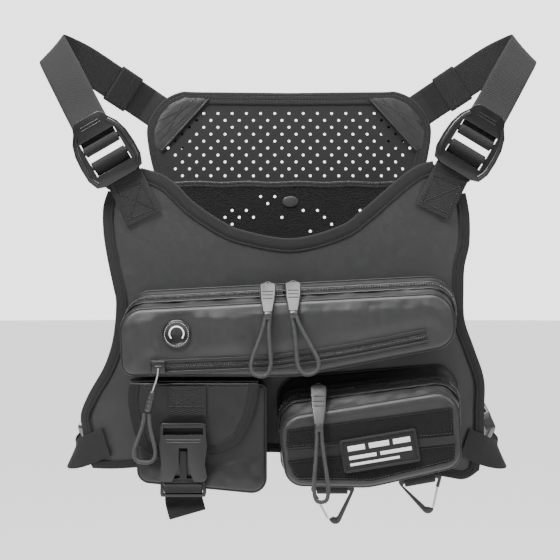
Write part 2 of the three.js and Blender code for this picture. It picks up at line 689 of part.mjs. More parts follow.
// Side-release buckle: mouth at z = 0, socket above it, plug below and inside.
// The wearer's side is at y = 0 and the front at y = -thick.
const BUCKLE_THICK = 11;
const BUCKLE_MIDDLE = -BUCKLE_THICK / 2;
const TONGUE_THICK = 5.8;
const SLOT = { height: 3.6, first: -3, second: -10 };     // the plug's two webbing slots

function buckle(webWidth, height) {
  const width = webWidth + 9;
  const half = width / 2;
  const body = height * 0.77;
  const depth = body - 5;
  const shoulders = [[half - 3, 0], [half, 5], [half - 2, body * 0.4], [half, body * 0.8],
    [half - 1, body], [half - 1, height - 2], [half - 3, height]];
  const outline = flat([...shoulders, ...shoulders.map(([x, z]) => [-x, z]).reverse()]);
  const socket = cut(
    plate(outline, 0, -BUCKLE_THICK),
    box(webWidth, TONGUE_THICK + 0.8, depth * 2, 0, BUCKLE_MIDDLE, 0),
    box(webWidth + 1, THROUGH, height - body - 6, 0, 0, (height + body) / 2 - 1),
    box(width + 10, 5, body * 0.28, 0, BUCKLE_MIDDLE, body * 0.6),
    box(8.5, 8, body * 0.42, 0, -BUCKLE_THICK, body * 0.55),
    plate(flat([[-11, -1], [11, -1], [4.25, body * 0.34], [-4.25, body * 0.34]]),
      BUCKLE_MIDDLE, -BUCKLE_THICK - 2),
  );
  const reach = depth - 1;
  const arm = (s) => box(5, TONGUE_THICK, reach, s * (webWidth / 2 - 3.1), BUCKLE_MIDDLE, reach / 2);
  const foot = [[half - 1.5, -GAP], [half - 1, -11], [half - 2, -14.5]];
  const base = plate(flat([...foot.map(([x, z]) => [-x, z]), ...foot.reverse()]),
    BUCKLE_MIDDLE + 4.6, BUCKLE_MIDDLE - 4.6);
  const guide = box(7, TONGUE_THICK, reach * 0.8, 0, BUCKLE_MIDDLE, reach * 0.4 - 0.4);
  const root = box(webWidth - 0.8, TONGUE_THICK, 4, 0, BUCKLE_MIDDLE, 1.2);
  const slots = [SLOT.first, SLOT.second].map((z) => box(webWidth + 0.6, THROUGH, SLOT.height, 0, 0, z));
  return { socket, plug: cut(join(base, arm(-1), arm(1), guide, root), ...slots) };
}

// The webbing from the pouch's underside turns round the bar between the plug's
// slots, and its free end hangs in front.
function pouchBuckle() {
  const { socket, plug } = buckle(WEBBING, 57);
  const frame = frameAt(BUCKLE.x, BUCKLE.y, BUCKLE.mouth);
  add('pouch_buckle_socket', socket, plastic, frame);
  add('pouch_buckle_plug', plug, plastic, frame);
  const round = [[6, -1.8], [5.4, -3], [0, -3], [-4.7, -3.1], [-5.8, -4.4], [-5.8, -8.6],
    [-4.7, -9.9], [0, -10], [5.4, -10.4], [6.6, -13], [6, -19], [3.5, -26], [3, -33]];
  const free = 10;             // from this stop on the tail drifts to the right
  const stops = round.map(([y, z], i) => {
    const drift = Math.max(0, i - free);
    return {
      at: new THREE.Vector3(BUCKLE.x + 2 * drift, BUCKLE.y + BUCKLE_MIDDLE + y, BUCKLE.mouth + z),
      across: new THREE.Vector3(1, 0, -0.13 * drift),
    };
  });
  add('pouch_strap', band(stops, WEBBING - 1, WEB_THICK), web);
}

// ---------------------------------------------------- face of the right pocket
const FIELD_THICK = 1.4;
const PATCH = { x: 91, z: -127.5, tilt: 9.5, halfWidth: 38, halfHeight: 16.5, thick: 2.6 };
function rightFace() {
  const back = rightPocket.face - GAP;
  const front = back - FIELD_THICK;
  const upper = flat([[-1, -125], [163, -112], [162, -85], [0, -107]]);
  const lower = flat([[10, -156], [84, -157], [164, -137], [165, -121], [0, -138]]);
  add('loop_field_upper', plate(upper, back, front), fleece);
  add('loop_field_lower', plate(lower, back, front), fleece);
  const { halfWidth: w, halfHeight: h } = PATCH;
  const outline = roundedPolygon(flat([[w, -h], [w, h], [-w, h], [-w, -h]]), [3, 3, 3, 3], 3, 1);
  add('name_patch', plate(outline, 0, -PATCH.thick), darkCloth,
    frameAt(PATCH.x, front - GAP, PATCH.z, PATCH.tilt));
}

// ------------------------------------------------------------------ snap hooks
// Flat rings shaped like a drop, each with a spring wire in its gate. The bar at the
// top turns in a loop of webbing.
const hooks = [
  { name: 'left', x: 45.5, z: -169.5, tilt: 0, gate: [[-14.6, -12], [-4.2, -31]] },
  { name: 'right', x: 133.5, z: -160, tilt: 10, gate: [[16.2, -12], [8.6, -31]] },
];
const HOOK = { y: -14, thick: 5.5, webbing: 31, wire: 2.6 };
const HOOK_LOOP = { radius: 5.2, top: 8 };

function snapHook(hook) {
  const frame = frameAt(hook.x, HOOK.y, hook.z, hook.tilt);
  const outer = roundedPolygon(flat([[4, -43], [24.5, 3], [-24.5, 3]]), [6, 4, 4], 5, 1);
  const inner = roundedPolygon(flat([[3.6, -32], [19, -2.5], [-19, -2.5]]), [3, 1.5, 1.5], 5, 1);
  const ring = cut(plate(outer, HOOK.thick / 2, -HOOK.thick / 2), plate(inner, THROUGH, -THROUGH));
  const [top, low] = flat(hook.gate);
  const way = low.clone().sub(top);
  const middle = top.clone().add(low).multiplyScalar(0.5);
  const inGate = (geometry) => geometry.rotateY(-Math.atan2(way.x, -way.y))
    .translate(middle.x, 0, middle.y);
  const gap = inGate(box(12, THROUGH, way.length() + 1));
  add(`snap_hook_${hook.name}`, cut(ring, gap), plastic, frame);
  const wire = new THREE.CylinderGeometry(HOOK.wire / 2, HOOK.wire / 2, way.length() - 0.6, 8);
  add(`hook_gate_${hook.name}`, inGate(wire.rotateX(Math.PI / 2)), metal, frame);
  const stops = [[-HOOK_LOOP.radius, HOOK_LOOP.top]];
  for (let a = 0; a <= 180; a += 30) {
    const t = THREE.MathUtils.degToRad(a);
    stops.push([-HOOK_LOOP.radius * Math.cos(t), -HOOK_LOOP.radius * Math.sin(t)]);
  }
  stops.push([HOOK_LOOP.radius, HOOK_LOOP.top]);
  const loop = stops.map(([y, z]) => ({ at: new THREE.Vector3(0, y, z), across: acrossAt(0) }));
  add(`hook_loop_${hook.name}`, band(loop, HOOK.webbing, WEB_THICK), web, frame);
}

// ------------------------------------------------------------------ side straps
// Webbing from each wing, a side-release buckle, and a strap up to the back panel.
const SIDE_BUCKLE = 44;        // socket height
const SIDE_REACH = 48;         // from the end of the wing's webbing to the buckle's mouth
const SIDE_STEPS = 12;

function sideStrap(side) {
  const s = side.sign;
  const front = PANEL_FRONT - TAPE_THICK - GAP - WEB_THICK / 2;
  const onWing = [[side.edge - 24, -125, 0.6], [side.edge - 11, -131, 0.8], [side.edge, -136, 1.4]]
    .map(([x, z, clear]) => ({
      at: new THREE.Vector3(s * x, wingBack(x) + front - clear, z),
      across: new THREE.Vector3(s * 0.405, 0.81 * WING_CURVE * (x - WING_START), -0.914),
    }));
  const foot = new THREE.Vector3(s * 213, 40, -127);
  const round = [new THREE.Vector3(s * 220, 22, -140.5), new THREE.Vector3(s * 220, 33, -137), foot]
    .map((at) => ({ at, across: new THREE.Vector3(s * 0.405, 0, -0.914) }));
  add(`side_web_${side.name}`, band(finer([...onWing, ...round], 3), SIDE_WEBBING, WEB_THICK), web);

  const up = new THREE.Vector3(-s * 0.3, 0.55, 0.78).normalize();
  const down = up.clone().negate();
  const wide = new THREE.Vector3().crossVectors(up, new THREE.Vector3(s, 0, 0)).normalize();
  const out = new THREE.Vector3().crossVectors(wide, up);
  const mouth = foot.clone().addScaledVector(up, SIDE_REACH);
  const frame = new THREE.Matrix4().makeBasis(wide, out, down)
    .setPosition(mouth.clone().addScaledVector(out, -BUCKLE_MIDDLE));
  const { socket, plug } = buckle(SIDE_WEBBING, SIDE_BUCKLE);
  place(add(`side_socket_${side.name}`, socket, plastic), frame);
  place(add(`side_plug_${side.name}`, plug, plastic), frame);

  const begin = mouth.clone().addScaledVector(up, 16.5);
  const toBack = [[160, 130, -20], [146, 140, -2], [126, 141, 24], [106, 141, 50]]
    .map(([x, y, z]) => new THREE.Vector3(BACK_X + s * x, y, z));
  const curve = new THREE.CatmullRomCurve3(
    [begin, begin.clone().addScaledVector(up, 26), ...toBack], false, 'centripetal');
  const onBack = new THREE.Vector3(s * 0.79, 0, 0.61);
  const stops = Array.from({ length: SIDE_STEPS + 1 }, (_, i) => ({
    at: curve.getPoint(i / SIDE_STEPS),
    across: wide.clone().lerp(onBack, Math.min(1, (1.5 * i) / SIDE_STEPS)).normalize(),
  }));
  add(`side_strap_${side.name}`, band(stops, SIDE_WEBBING, WEB_THICK), web);
}

// -------------------------------------------------------------------- assembly
frontPanel();
for (const side of sides) {
  ladderLock(side);
  shoulderAnchor(side);
  shoulderStrap(side);
  keeper(side);
  sideStrap(side);
}
backPanel();
zipPocket(mainPocket, 'main_zip_chain');
zipPocket(rightPocket, 'right_zip_chain');
zipPulls();
faceZip();
flapPouch();
pouchBuckle();
rightFace();
hooks.forEach(snapHook);

export default part;
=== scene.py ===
"""Utility chest vest: the visual model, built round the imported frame.

Sizes in this file are millimetres and turn into metres as each mesh is made. The
wearer stands at +Y of the front panel, so the outside of the front faces -Y.
"""
import json
import math
import random

import bmesh
import bpy
import numpy as np
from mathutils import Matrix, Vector, noise
from mathutils.geometry import delaunay_2d_cdt

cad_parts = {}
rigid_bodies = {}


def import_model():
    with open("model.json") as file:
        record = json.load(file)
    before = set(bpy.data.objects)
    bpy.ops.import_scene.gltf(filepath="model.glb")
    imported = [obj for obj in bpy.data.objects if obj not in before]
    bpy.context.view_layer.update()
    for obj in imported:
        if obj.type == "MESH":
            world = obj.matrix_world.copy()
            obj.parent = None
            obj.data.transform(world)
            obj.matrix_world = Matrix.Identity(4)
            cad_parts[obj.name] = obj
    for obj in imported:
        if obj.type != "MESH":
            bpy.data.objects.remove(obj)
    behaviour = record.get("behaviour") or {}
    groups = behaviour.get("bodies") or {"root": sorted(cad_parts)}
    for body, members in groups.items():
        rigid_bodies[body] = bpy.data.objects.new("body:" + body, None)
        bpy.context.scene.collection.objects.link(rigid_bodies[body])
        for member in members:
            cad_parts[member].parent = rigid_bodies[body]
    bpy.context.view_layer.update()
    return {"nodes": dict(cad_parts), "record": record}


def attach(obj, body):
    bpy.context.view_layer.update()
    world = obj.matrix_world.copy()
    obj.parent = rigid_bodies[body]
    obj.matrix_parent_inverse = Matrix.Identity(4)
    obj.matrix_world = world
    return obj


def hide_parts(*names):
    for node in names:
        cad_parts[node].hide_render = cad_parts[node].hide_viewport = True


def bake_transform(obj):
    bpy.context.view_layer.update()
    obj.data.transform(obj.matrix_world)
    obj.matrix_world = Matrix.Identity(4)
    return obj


for thing in list(bpy.data.objects):
    bpy.data.objects.remove(thing)
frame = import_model()
random.seed(7)

MM = 0.001
BODY_OF = {n: b for b, nodes in frame["record"]["behaviour"]["bodies"].items() for n in nodes}
SLOT_OF = {s["node"]: s["material_slot"] for s in frame["record"]["subparts"]}

# --------------------------------------------------------------- driving sizes
WEBBING, WEB_THICK, SIDE_WEBBING, CORD = 38, 1.6, 30, 4
PANEL_FRONT = -4.3
TAPE_THICK = 1
POCKET_BACK = -5.6
POCKET_STEP = POCKET_BACK - 3
NECK_TAPE, SIDE_TAPE, HEM_TAPE = 15, 12.5, 9
WING_START, WING_CURVE = 150, 0.006
BACK_Y, BACK_THICK, BACK_TAPE, BACK_X = 130, 4, 14.5, 3
UP = np.array([0.0, 0.0, 1.0])
OUT = np.array([0.0, -1.0, 0.0])

HEM = [[-197, -153], [-171, -152], [-120, -147], [-60, -139], [-15, -135], [40, -140],
       [110, -150], [160, -160], [180, -163], [195, -155]]
RIGHT = [[195, -155], [200, -125], [200.5, -94], [200.5, -62], [190, -30], [180, -1],
         [179, 30], [180, 54], [185, 77], [185, 106], [181, 129]]
NECK = [[148, 161], [136, 158], [122, 150], [99, 131], [76, 111], [53, 95], [6, 82.5],
        [-42, 90], [-66, 100], [-94, 119], [-112, 137], [-128, 148], [-148, 154]]
LEFT = [[-181, 131], [-186, 115], [-186, 90], [-182, 63], [-176, 34], [-173, 16],
        [-176, -19], [-185, -48], [-201, -76], [-210, -98], [-208, -116], [-204, -138],
        [-197, -153]]
BACK_HALF = [[0, 248], [100, 249], [120, 249], [139, 240], [152, 224], [158, 207],
             [155, 180], [148, 150], [138, 100], [128, 50], [120, 30], [104, 20], [60, 18],
             [0, 18]]


# ---------------------------------------------------------------- lines in space
def spline(points, per_span=8, closed=False):
    """A smooth curve through the points, which may have any number of coordinates."""
    p = np.asarray(points, float)
    n = len(p)
    at = (lambda i: p[i % n]) if closed else (lambda i: p[min(max(i, 0), n - 1)])
    out = []
    for i in range(n if closed else n - 1):
        a, b, c, d = at(i - 1), at(i), at(i + 1), at(i + 2)
        for k in range(per_span):
            t = k / per_span
            out.append(0.5 * (2 * b + (c - a) * t + (2 * a - 5 * b + 4 * c - d) * t ** 2
                              + (3 * b - a - 3 * c + d) * t ** 3))
    if not closed:
        out.append(p[-1])
    return np.array(out)


def circle(count):
    """Angles all the way round."""
    return np.linspace(0, 2 * math.pi, count, endpoint=False)


def lengths(path):
    steps = np.linalg.norm(np.diff(path, axis=0), axis=1)
    return np.concatenate([[0], np.cumsum(steps)])


def unit(vector):
    return vector / np.linalg.norm(vector)


def looped(line):
    """A closed line with its first point again at the end."""
    return np.vstack([line, line[:1]])


def same(vector, path):
    """One vector for every point of a path."""
    return np.tile(vector, (len(path), 1))


def turned(u, v, degrees, x=0.0, z=0.0):
    """A place in X and Z, from its offsets along two axes turned by some degrees."""
    a = math.radians(degrees)
    return (x + u * math.cos(a) - v * math.sin(a), z + u * math.sin(a) + v * math.cos(a))


def resample(path, step, closed=False):
    """The same line with points about one step apart."""
    path = np.asarray(path, float)
    line = looped(path) if closed else path
    along = lengths(line)
    count = max(int(round(along[-1] / step)), 2)
    want = np.linspace(0, along[-1], count + 1)
    out = np.stack([np.interp(want, along, line[:, k]) for k in range(line.shape[1])], 1)
    return out[:-1] if closed else out


def ways(path, closed=False):
    path = np.asarray(path, float)
    if closed:
        way = np.roll(path, -1, 0) - np.roll(path, 1, 0)
    else:
        way = np.gradient(path, axis=0)
    return way / np.maximum(np.linalg.norm(way, axis=1, keepdims=True), 1e-9)


def offset(path, distance, closed=False):
    """Moves a line in X and Z to the left of the way it runs."""
    way = ways(path, closed)
    return path + np.stack([-way[:, 1], way[:, 0]], 1) * distance


def on_face(line, y):
    """A line in X and Z, at one depth."""
    line = np.asarray(line, float)
    return np.stack([line[:, 0], np.full(len(line), y), line[:, 1]], 1)


def wing_back(x):
    return WING_CURVE * np.maximum(0, np.abs(x) - WING_START) ** 2


def wing_slope(x):
    return 2 * WING_CURVE * np.maximum(0, np.abs(x) - WING_START) * np.sign(x)


def on_panel(line, depth):
    """A line in X and Z, laid on the panel at that depth."""
    line = np.asarray(line, float)
    return np.stack([line[:, 0], wing_back(line[:, 0]) + depth, line[:, 1]], 1)


def inside(points, outline):
    """Which points in X and Z lie inside a closed outline."""
    x, z = points[:, 0][:, None], points[:, 1][:, None]
    a, b = outline, np.roll(outline, -1, 0)
    cross = (a[:, 1] > z) != (b[:, 1] > z)
    with np.errstate(divide="ignore", invalid="ignore"):
        hit = x < (b[:, 0] - a[:, 0]) * (z - a[:, 1]) / (b[:, 1] - a[:, 1]) + a[:, 0]
    return (cross & hit).sum(1) % 2 == 1


def edge_distance(points, line, closed=True):
    """How far each point in X and Z is from a line."""
    a = line if closed else line[:-1]
    b = np.roll(line, -1, 0) if closed else line[1:]
    best = np.full(len(points), 1e9)
    for p, q in zip(a, b):
        d = q - p
        t = np.clip(((points - p) @ d) / max(d @ d, 1e-12), 0, 1)
        best = np.minimum(best, np.hypot(*(points - p - t[:, None] * d).T))
    return best


def ripple(points, size, seed=0.0, stretch=(1, 1)):
    """Smooth noise over points in X and Z, from about -1 to 1."""
    return np.array([noise.noise(Vector((x / size / stretch[0], seed, z / size / stretch[1])))
                     for x, z in points])


def ease(t):
    t = np.clip(t, 0, 1)
    return t * t * (3 - 2 * t)


# ------------------------------------------------------------------- materials
class Nodes:
    """A short way to wire a material."""

    def __init__(self, name):
        self.material = bpy.data.materials.new(name)
        self.material.use_nodes = True
        self.tree = self.material.node_tree
        self.shader = self.tree.nodes["Principled BSDF"]

    def add(self, kind, **settings):
        node = self.tree.nodes.new("ShaderNode" + kind)
        for key, value in settings.items():
            setattr(node, key, value)
        return node

    def link(self, value, socket):
        if isinstance(value, bpy.types.NodeSocket):
            self.tree.links.new(value, socket)
        else:
            socket.default_value = value

    def math(self, operation, a, b=0.0):
        node = self.add("Math", operation=operation)
        self.link(a, node.inputs[0])
        self.link(b, node.inputs[1])
        return node.outputs[0]

    def mixed(self, *pairs):
        """The sum of values, each times its weight."""
        total = None
        for value, weight in pairs:
            part = self.math("MULTIPLY", value, weight)
            total = part if total is None else self.math("ADD", total, part)
        return total

    def dot(self, vector, weights):
        node = self.add("VectorMath", operation="DOT_PRODUCT")
        self.link(vector, node.inputs[0])
        node.inputs[1].default_value = weights
        return node.outputs["Value"]

    def wave(self, vector, weights, shift=None):
        """A sine between 0 and 1. Weights are turns per metre along each axis."""
        phase = self.dot(vector, [w * 2 * math.pi for w in weights])
        if shift is not None:
            phase = self.math("ADD", phase, shift)
        return self.math("MULTIPLY", self.math("ADD", self.math("SINE", phase), 1.0), 0.5)

    def noise(self, vector, size, detail=3.0):
        """Noise between 0 and 1 whose lumps are about size metres across."""
        node = self.add("TexNoise")
        self.link(vector, node.inputs["Vector"])
        node.inputs["Scale"].default_value = 1 / size
        node.inputs["Detail"].default_value = detail
        return node.outputs["Fac"]

    def ramp(self, value, low, high, start=0.0, end=1.0):
        node = self.add("MapRange")
        self.link(value, node.inputs["Value"])
        for key, number in (("From Min", start), ("From Max", end), ("To Min", low),
                            ("To Max", high)):
            node.inputs[key].default_value = number
        return node.outputs["Result"]

    def colour(self, value, dark, light):
        node = self.add("Mix", data_type="RGBA")
        self.link(value, node.inputs[0])
        node.inputs[6].default_value = (*dark, 1)
        node.inputs[7].default_value = (*light, 1)
        return node.outputs[2]

    def shades(self, value, level, dark, light, tint=0.0):
        """A grey that runs between two multiples of a level."""
        return self.colour(value, grey(level * dark, tint), grey(level * light, tint))

    def bump(self, height, distance, strength=1.0, under=None):
        node = self.add("Bump")
        self.link(height, node.inputs["Height"])
        node.inputs["Distance"].default_value = distance
        node.inputs["Strength"].default_value = strength
        if under is not None:
            self.link(under, node.inputs["Normal"])
        return node.outputs["Normal"]

    @property
    def place(self):
        return self.add("TexCoord").outputs["Object"]

    @property
    def weave(self):
        """Position along and across a tape, in metres."""
        return self.add("UVMap", uv_map="Weave").outputs["UV"]

    def finish(self, colour, roughness, normal=None, **shader):
        self.link(colour, self.shader.inputs["Base Color"])
        self.link(roughness, self.shader.inputs["Roughness"])
        if normal is not None:
            self.link(normal, self.shader.inputs["Normal"])
        for key, value in shader.items():
            self.shader.inputs[key.replace("_", " ")].default_value = value
        return self.material


def grey(level, tint=0.0):
    return (level * (1 - tint), level, level * (1 + tint))


def coated_nylon(name, level, rough, grain=1100):
    """Polyurethane-coated twill: a fine diagonal grain under a soft satin skin."""
    n = Nodes(name)
    p = n.place
    twill = n.math("MULTIPLY", n.wave(p, (grain, grain * 0.35, grain)),
                   n.wave(p, (-grain * 0.5, grain * 0.2, grain * 0.5)))
    cloud = n.noise(p, 0.045, 4)
    scuff = n.ramp(n.noise(p, 0.006, 6), 0, 1, 0.42, 0.72)
    tone = n.mixed((cloud, 0.55), (twill, 0.25), (scuff, 0.2))
    dent = n.bump(cloud, 0.0006, 0.5)
    normal = n.bump(twill, 0.00012, 0.75, dent)
    roughness = n.math("ADD", n.math("MULTIPLY", scuff, 0.12), rough - 0.05)
    return n.finish(n.shades(tone, level, 0.72, 1.3, 0.01), roughness,
                    normal, Specular_IOR_Level=0.36, Sheen_Weight=0.02, Sheen_Roughness=0.4)


def twill_tape(name, level, pitch=1.6, chevron=5.0):
    """Binding tape with a herringbone twill."""
    n = Nodes(name)
    uv = n.weave
    across = n.math("PINGPONG", n.dot(uv, (0, 1000, 0)), chevron)
    slant = n.math("MULTIPLY", across, 2 * math.pi / pitch)
    twill = n.wave(uv, (1000 / pitch, 0, 0), slant)
    fine = n.wave(uv, (0, 1000 / 0.9, 0))
    fuzz = n.noise(n.place, 0.0009, 3)
    cloud = n.noise(n.place, 0.03, 3)
    height = n.mixed((twill, 0.7), (fine, 0.3))
    tone = n.mixed((height, 0.5), (fuzz, 0.3), (cloud, 0.2))
    return n.finish(n.shades(tone, level, 0.45, 1.6), 0.82,
                    n.bump(height, 0.00028, 0.9, n.bump(fuzz, 0.0001, 0.5)),
                    Specular_IOR_Level=0.25, Sheen_Weight=0.04, Sheen_Roughness=0.5)


def ribbed_web(name, level, pitch=2.0):
    """Webbing: ribs across it, broken into columns of yarn along it."""
    n = Nodes(name)
    uv = n.weave
    zigzag = n.math("MULTIPLY", n.math("PINGPONG", n.dot(uv, (0, 1000, 0)), 1.3), 1.5)
    ribs = n.wave(uv, (1000 / pitch, 260 / pitch, 0), zigzag)
    yarn = n.wave(uv, (0, 1000 / 1.3, 0))
    fuzz = n.noise(n.place, 0.0007, 3)
    cloud = n.noise(n.place, 0.04, 3)
    height = n.mixed((ribs, 0.7), (n.math("MULTIPLY", ribs, yarn), 0.45))
    tone = n.mixed((height, 0.6), (fuzz, 0.25), (cloud, 0.15))
    return n.finish(n.shades(tone, level, 0.35, 1.6), 0.78,
                    n.bump(height, 0.00035, 0.7, n.bump(fuzz, 0.00005, 0.3)),
                    Specular_IOR_Level=0.2, Sheen_Weight=0.03, Sheen_Roughness=0.45)


def moulded_plastic(name, level, rough, speck=0.0005, depth=0.00002, tint=0.0):
    """Moulded plastic or rubber: fine tooling texture and edges rubbed paler."""
    n = Nodes(name)
    p = n.place
    texture = n.noise(p, speck, 2)
    cloud = n.noise(p, 0.012, 4)
    edge = n.ramp(n.add("NewGeometry").outputs["Pointiness"], 0, 1, 0.52, 0.62)
    worn = n.math("MULTIPLY", edge, n.noise(p, 0.003, 3))
    tone = n.mixed((cloud, 0.35), (worn, 0.9))
    roughness = n.math("ADD", n.math("MULTIPLY", cloud, 0.16), rough - 0.08)
    return n.finish(n.shades(tone, level, 0.8, 1.9, tint), roughness,
                    n.bump(texture, depth, 0.8), Specular_IOR_Level=0.5)


def perforated_foam(name, level, rough):
    """Smooth neoprene face with a very fine grain."""
    n = Nodes(name)
    p = n.place
    grain = n.noise(p, 0.0008, 3)
    cloud = n.noise(p, 0.05, 3)
    tone = n.mixed((grain, 0.4), (cloud, 0.6))
    return n.finish(n.shades(tone, level, 0.6, 1.5),
                    n.math("ADD", n.math("MULTIPLY", cloud, 0.1), rough),
                    n.bump(grain, 0.0001, 0.7, n.bump(cloud, 0.001, 0.4)),
                    Specular_IOR_Level=0.3, Sheen_Weight=0.02)


def spacer_mesh(name, level):
    """Knitted mesh: a honeycomb of small cells."""
    n = Nodes(name)
    cells = n.add("TexVoronoi", feature="DISTANCE_TO_EDGE")
    n.link(n.place, cells.inputs["Vector"])
    cells.inputs["Scale"].default_value = 420
    wall = n.ramp(cells.outputs["Distance"], 1, 0, 0.03, 0.3)
    fuzz = n.noise(n.place, 0.0008, 3)
    tone = n.mixed((wall, 0.7), (fuzz, 0.3))
    return n.finish(n.shades(tone, level, 0.25, 1.5), 0.9,
                    n.bump(wall, 0.0007, 1.0), Specular_IOR_Level=0.2, Sheen_Weight=0.02)


def loop_fleece(name, level):
    """The soft half of hook and loop: a dense tangle of tiny loops."""
    n = Nodes(name)
    p = n.place
    tangle = n.noise(p, 0.0011, 5)
    cells = n.add("TexVoronoi")
    n.link(p, cells.inputs["Vector"])
    cells.inputs["Scale"].default_value = 900
    height = n.mixed((tangle, 0.6), (cells.outputs["Distance"], 0.6))
    return n.finish(n.shades(n.ramp(height, 0, 1, 0.35, 0.9), level, 0.15, 2.4),
                    0.95, n.bump(height, 0.0009, 1.0), Specular_IOR_Level=0.15,
                    Sheen_Weight=0.05, Sheen_Roughness=0.6)


def braided_cord(name, level):
    """A fine round braid: two sets of yarns that cross."""
    n = Nodes(name)
    p = n.place
    one = n.wave(p, (420, 420, 620))
    two = n.wave(p, (-420, -420, 620))
    height = n.math("MAXIMUM", one, two)
    tone = n.math("MULTIPLY", height, n.ramp(n.noise(p, 0.001, 3), 0.7, 1.2))
    return n.finish(n.shades(tone, level, 0.35, 1.5, 0.02), 0.6,
                    n.bump(height, 0.0004, 1.0), Specular_IOR_Level=0.35, Sheen_Weight=0.03)


def satin_thread(name, level, turns=1400, rough=0.5):
    """Close parallel stitches, as in embroidery and seams."""
    n = Nodes(name)
    p = n.place
    yarn = n.wave(p, (turns, turns * 0.2, turns * 0.1))
    tone = n.math("MULTIPLY", yarn, n.ramp(n.noise(p, 0.002, 3), 0.7, 1.2))
    return n.finish(n.shades(tone, level, 0.55, 1.15), rough,
                    n.bump(yarn, 0.0002, 0.8), Specular_IOR_Level=0.35, Sheen_Weight=0.02)


def drawn_metal(name, level, rough):
    n = Nodes(name)
    p = n.place
    brush = n.noise(p, 0.0006, 4)
    tone = n.mixed((brush, 0.6), (n.noise(p, 0.01), 0.4))
    return n.finish(n.shades(tone, level, 0.7, 1.2),
                    n.math("ADD", n.math("MULTIPLY", brush, 0.2), rough),
                    n.bump(brush, 0.00002, 0.5), Metallic=1.0)


COATED = coated_nylon("coated_nylon", 0.018, 0.4)
# A darker copy of the coated nylon: the own darker tone of lips, piping and seams; on the flap pouch
# it is partly painted shade.
DARK_TRIM_AND_POUCH_SHADE = coated_nylon("coated_dark_trim_and_pouch_shade", 0.0065, 0.44, 900)
TAPE = twill_tape("binding_tape", 0.007)
ELASTIC = twill_tape("elastic_tape", 0.009, 1.0, 30.0)
ZIP_TAPE = twill_tape("zip_tape", 0.012, 1.1, 30.0)
WEB = ribbed_web("webbing", 0.0125)
PLASTIC = moulded_plastic("satin_plastic", 0.0035, 0.3)
RUBBER = moulded_plastic("grey_rubber", 0.015, 0.42, 0.0008, 0.00004, 0.02)
TEETH = moulded_plastic("zip_teeth", 0.01, 0.28)
BRAID = braided_cord("braided_cord", 0.022)
THREAD = satin_thread("dark_thread", 0.016)
PALE_THREAD = satin_thread("pale_thread", 0.75, 1100, 0.55)
FOAM = perforated_foam("perforated_neoprene", 0.003, 0.6)
LINING = spacer_mesh("spacer_mesh", 0.004)
FLEECE = loop_fleece("loop_fleece", 0.004)
PATCH = satin_thread("patch_weave", 0.008, 1700, 0.7)
STEEL = drawn_metal("drawn_steel", 0.5, 0.24)
GUNMETAL = drawn_metal("gunmetal", 0.14, 0.26)
BLACKENED = drawn_metal("blackened_metal", 0.05, 0.3)
PRINT = satin_thread("reflective_print", 0.9, 600, 0.4)
# Dark plastic for the port's slit: painted shade that stands for the opening.
SLIT_SHADE = moulded_plastic("painted_slit_shade", 0.002, 0.7)


# --------------------------------------------------------------------- meshes
def piece(name, verts, faces, material, body, slot=None, replaces=(), uvs=None, angle=40):
    """One finished object. Verts are in millimetres, and uvs are per face corner."""
    mesh = bpy.data.meshes.new(name)
    mesh.from_pydata((np.asarray(verts, float) * MM).tolist(), [], [tuple(f) for f in faces])
    if uvs is not None:
        layer = mesh.uv_layers.new(name="Weave")
        layer.data.foreach_set("uv", (np.asarray(uvs, float) * MM).ravel().tolist())
    mesh.validate()
    return settle(bpy.data.objects.new(name, mesh), material, body, slot, replaces, angle)


def settle(obj, material, body, slot=None, replaces=(), angle=40):
    """Gives an object its material, its place in the scene and its body."""
    if obj.name not in bpy.context.scene.collection.objects:
        bpy.context.scene.collection.objects.link(obj)
    if obj.type == "MESH":
        tidy = bmesh.new()
        tidy.from_mesh(obj.data)
        bmesh.ops.recalc_face_normals(tidy, faces=tidy.faces)
        tidy.to_mesh(obj.data)
        tidy.free()
        obj.data.shade_smooth()
        obj.data.set_sharp_from_angle(angle=math.radians(angle))
    obj.data.materials.clear()
    obj.data.materials.append(material)
    if body is not None:
        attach(obj, body)
    names = [replaces] if isinstance(replaces, str) else list(replaces)
    if names:
        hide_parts(*names)
    if slot or names:
        slot or SLOT_OF[names[0]]
    return obj


def slab(width, thick, steps=12, turn=3):
    """A band's cross-section with rounded edges, as (across, out) points."""
    half, r = width / 2 - thick / 2, thick / 2
    points = []
    for side in (1, -1):
        points += [(side * x, side * r) for x in np.linspace(half, -half, steps + 1)]
        for k in range(1, turn):
            a = math.pi * k / turn
            points.append((side * (-half - r * math.sin(a)), side * r * math.cos(a)))
    return np.array(points)


def sweep(path, across, section, closed=False):
    """Carries a cross-section of (across, out) points along a path."""
    path, across = np.asarray(path, float), np.asarray(across, float)
    way = ways(path, closed)
    across = across - (across * way).sum(1, keepdims=True) * way
    across /= np.linalg.norm(across, axis=1, keepdims=True)
    out = np.cross(across, way)
    section = np.asarray(section, float)
    if section.ndim == 2:
        section = np.broadcast_to(section, (len(path), *section.shape))
    n, m = section.shape[:2]
    verts = (path[:, None] + section[:, :, :1] * across[:, None] + section[:, :, 1:] * out[:, None])
    along = np.concatenate([lengths(path), [0]])
    if closed:
        along[-1] = along[-2] + np.linalg.norm(path[0] - path[-1])
    round_ = lengths(looped(section[0]))
    faces, uvs = [], []
    for i in range(n if closed else n - 1):
        j = (i + 1) % n
        for k in range(m):
            q = (k + 1) % m
            faces.append((i * m + k, i * m + q, j * m + q, j * m + k))
            uvs += [(along[i], round_[k]), (along[i], round_[k + 1]),
                    (along[i + 1], round_[k + 1]), (along[i + 1], round_[k])]
    if not closed:
        for start in (0, (n - 1) * m):
            faces.append(tuple(range(start, start + m)))
            uvs += [(along[-2], w) for w in round_[:m]]
    return verts.reshape(-1, 3), faces, uvs


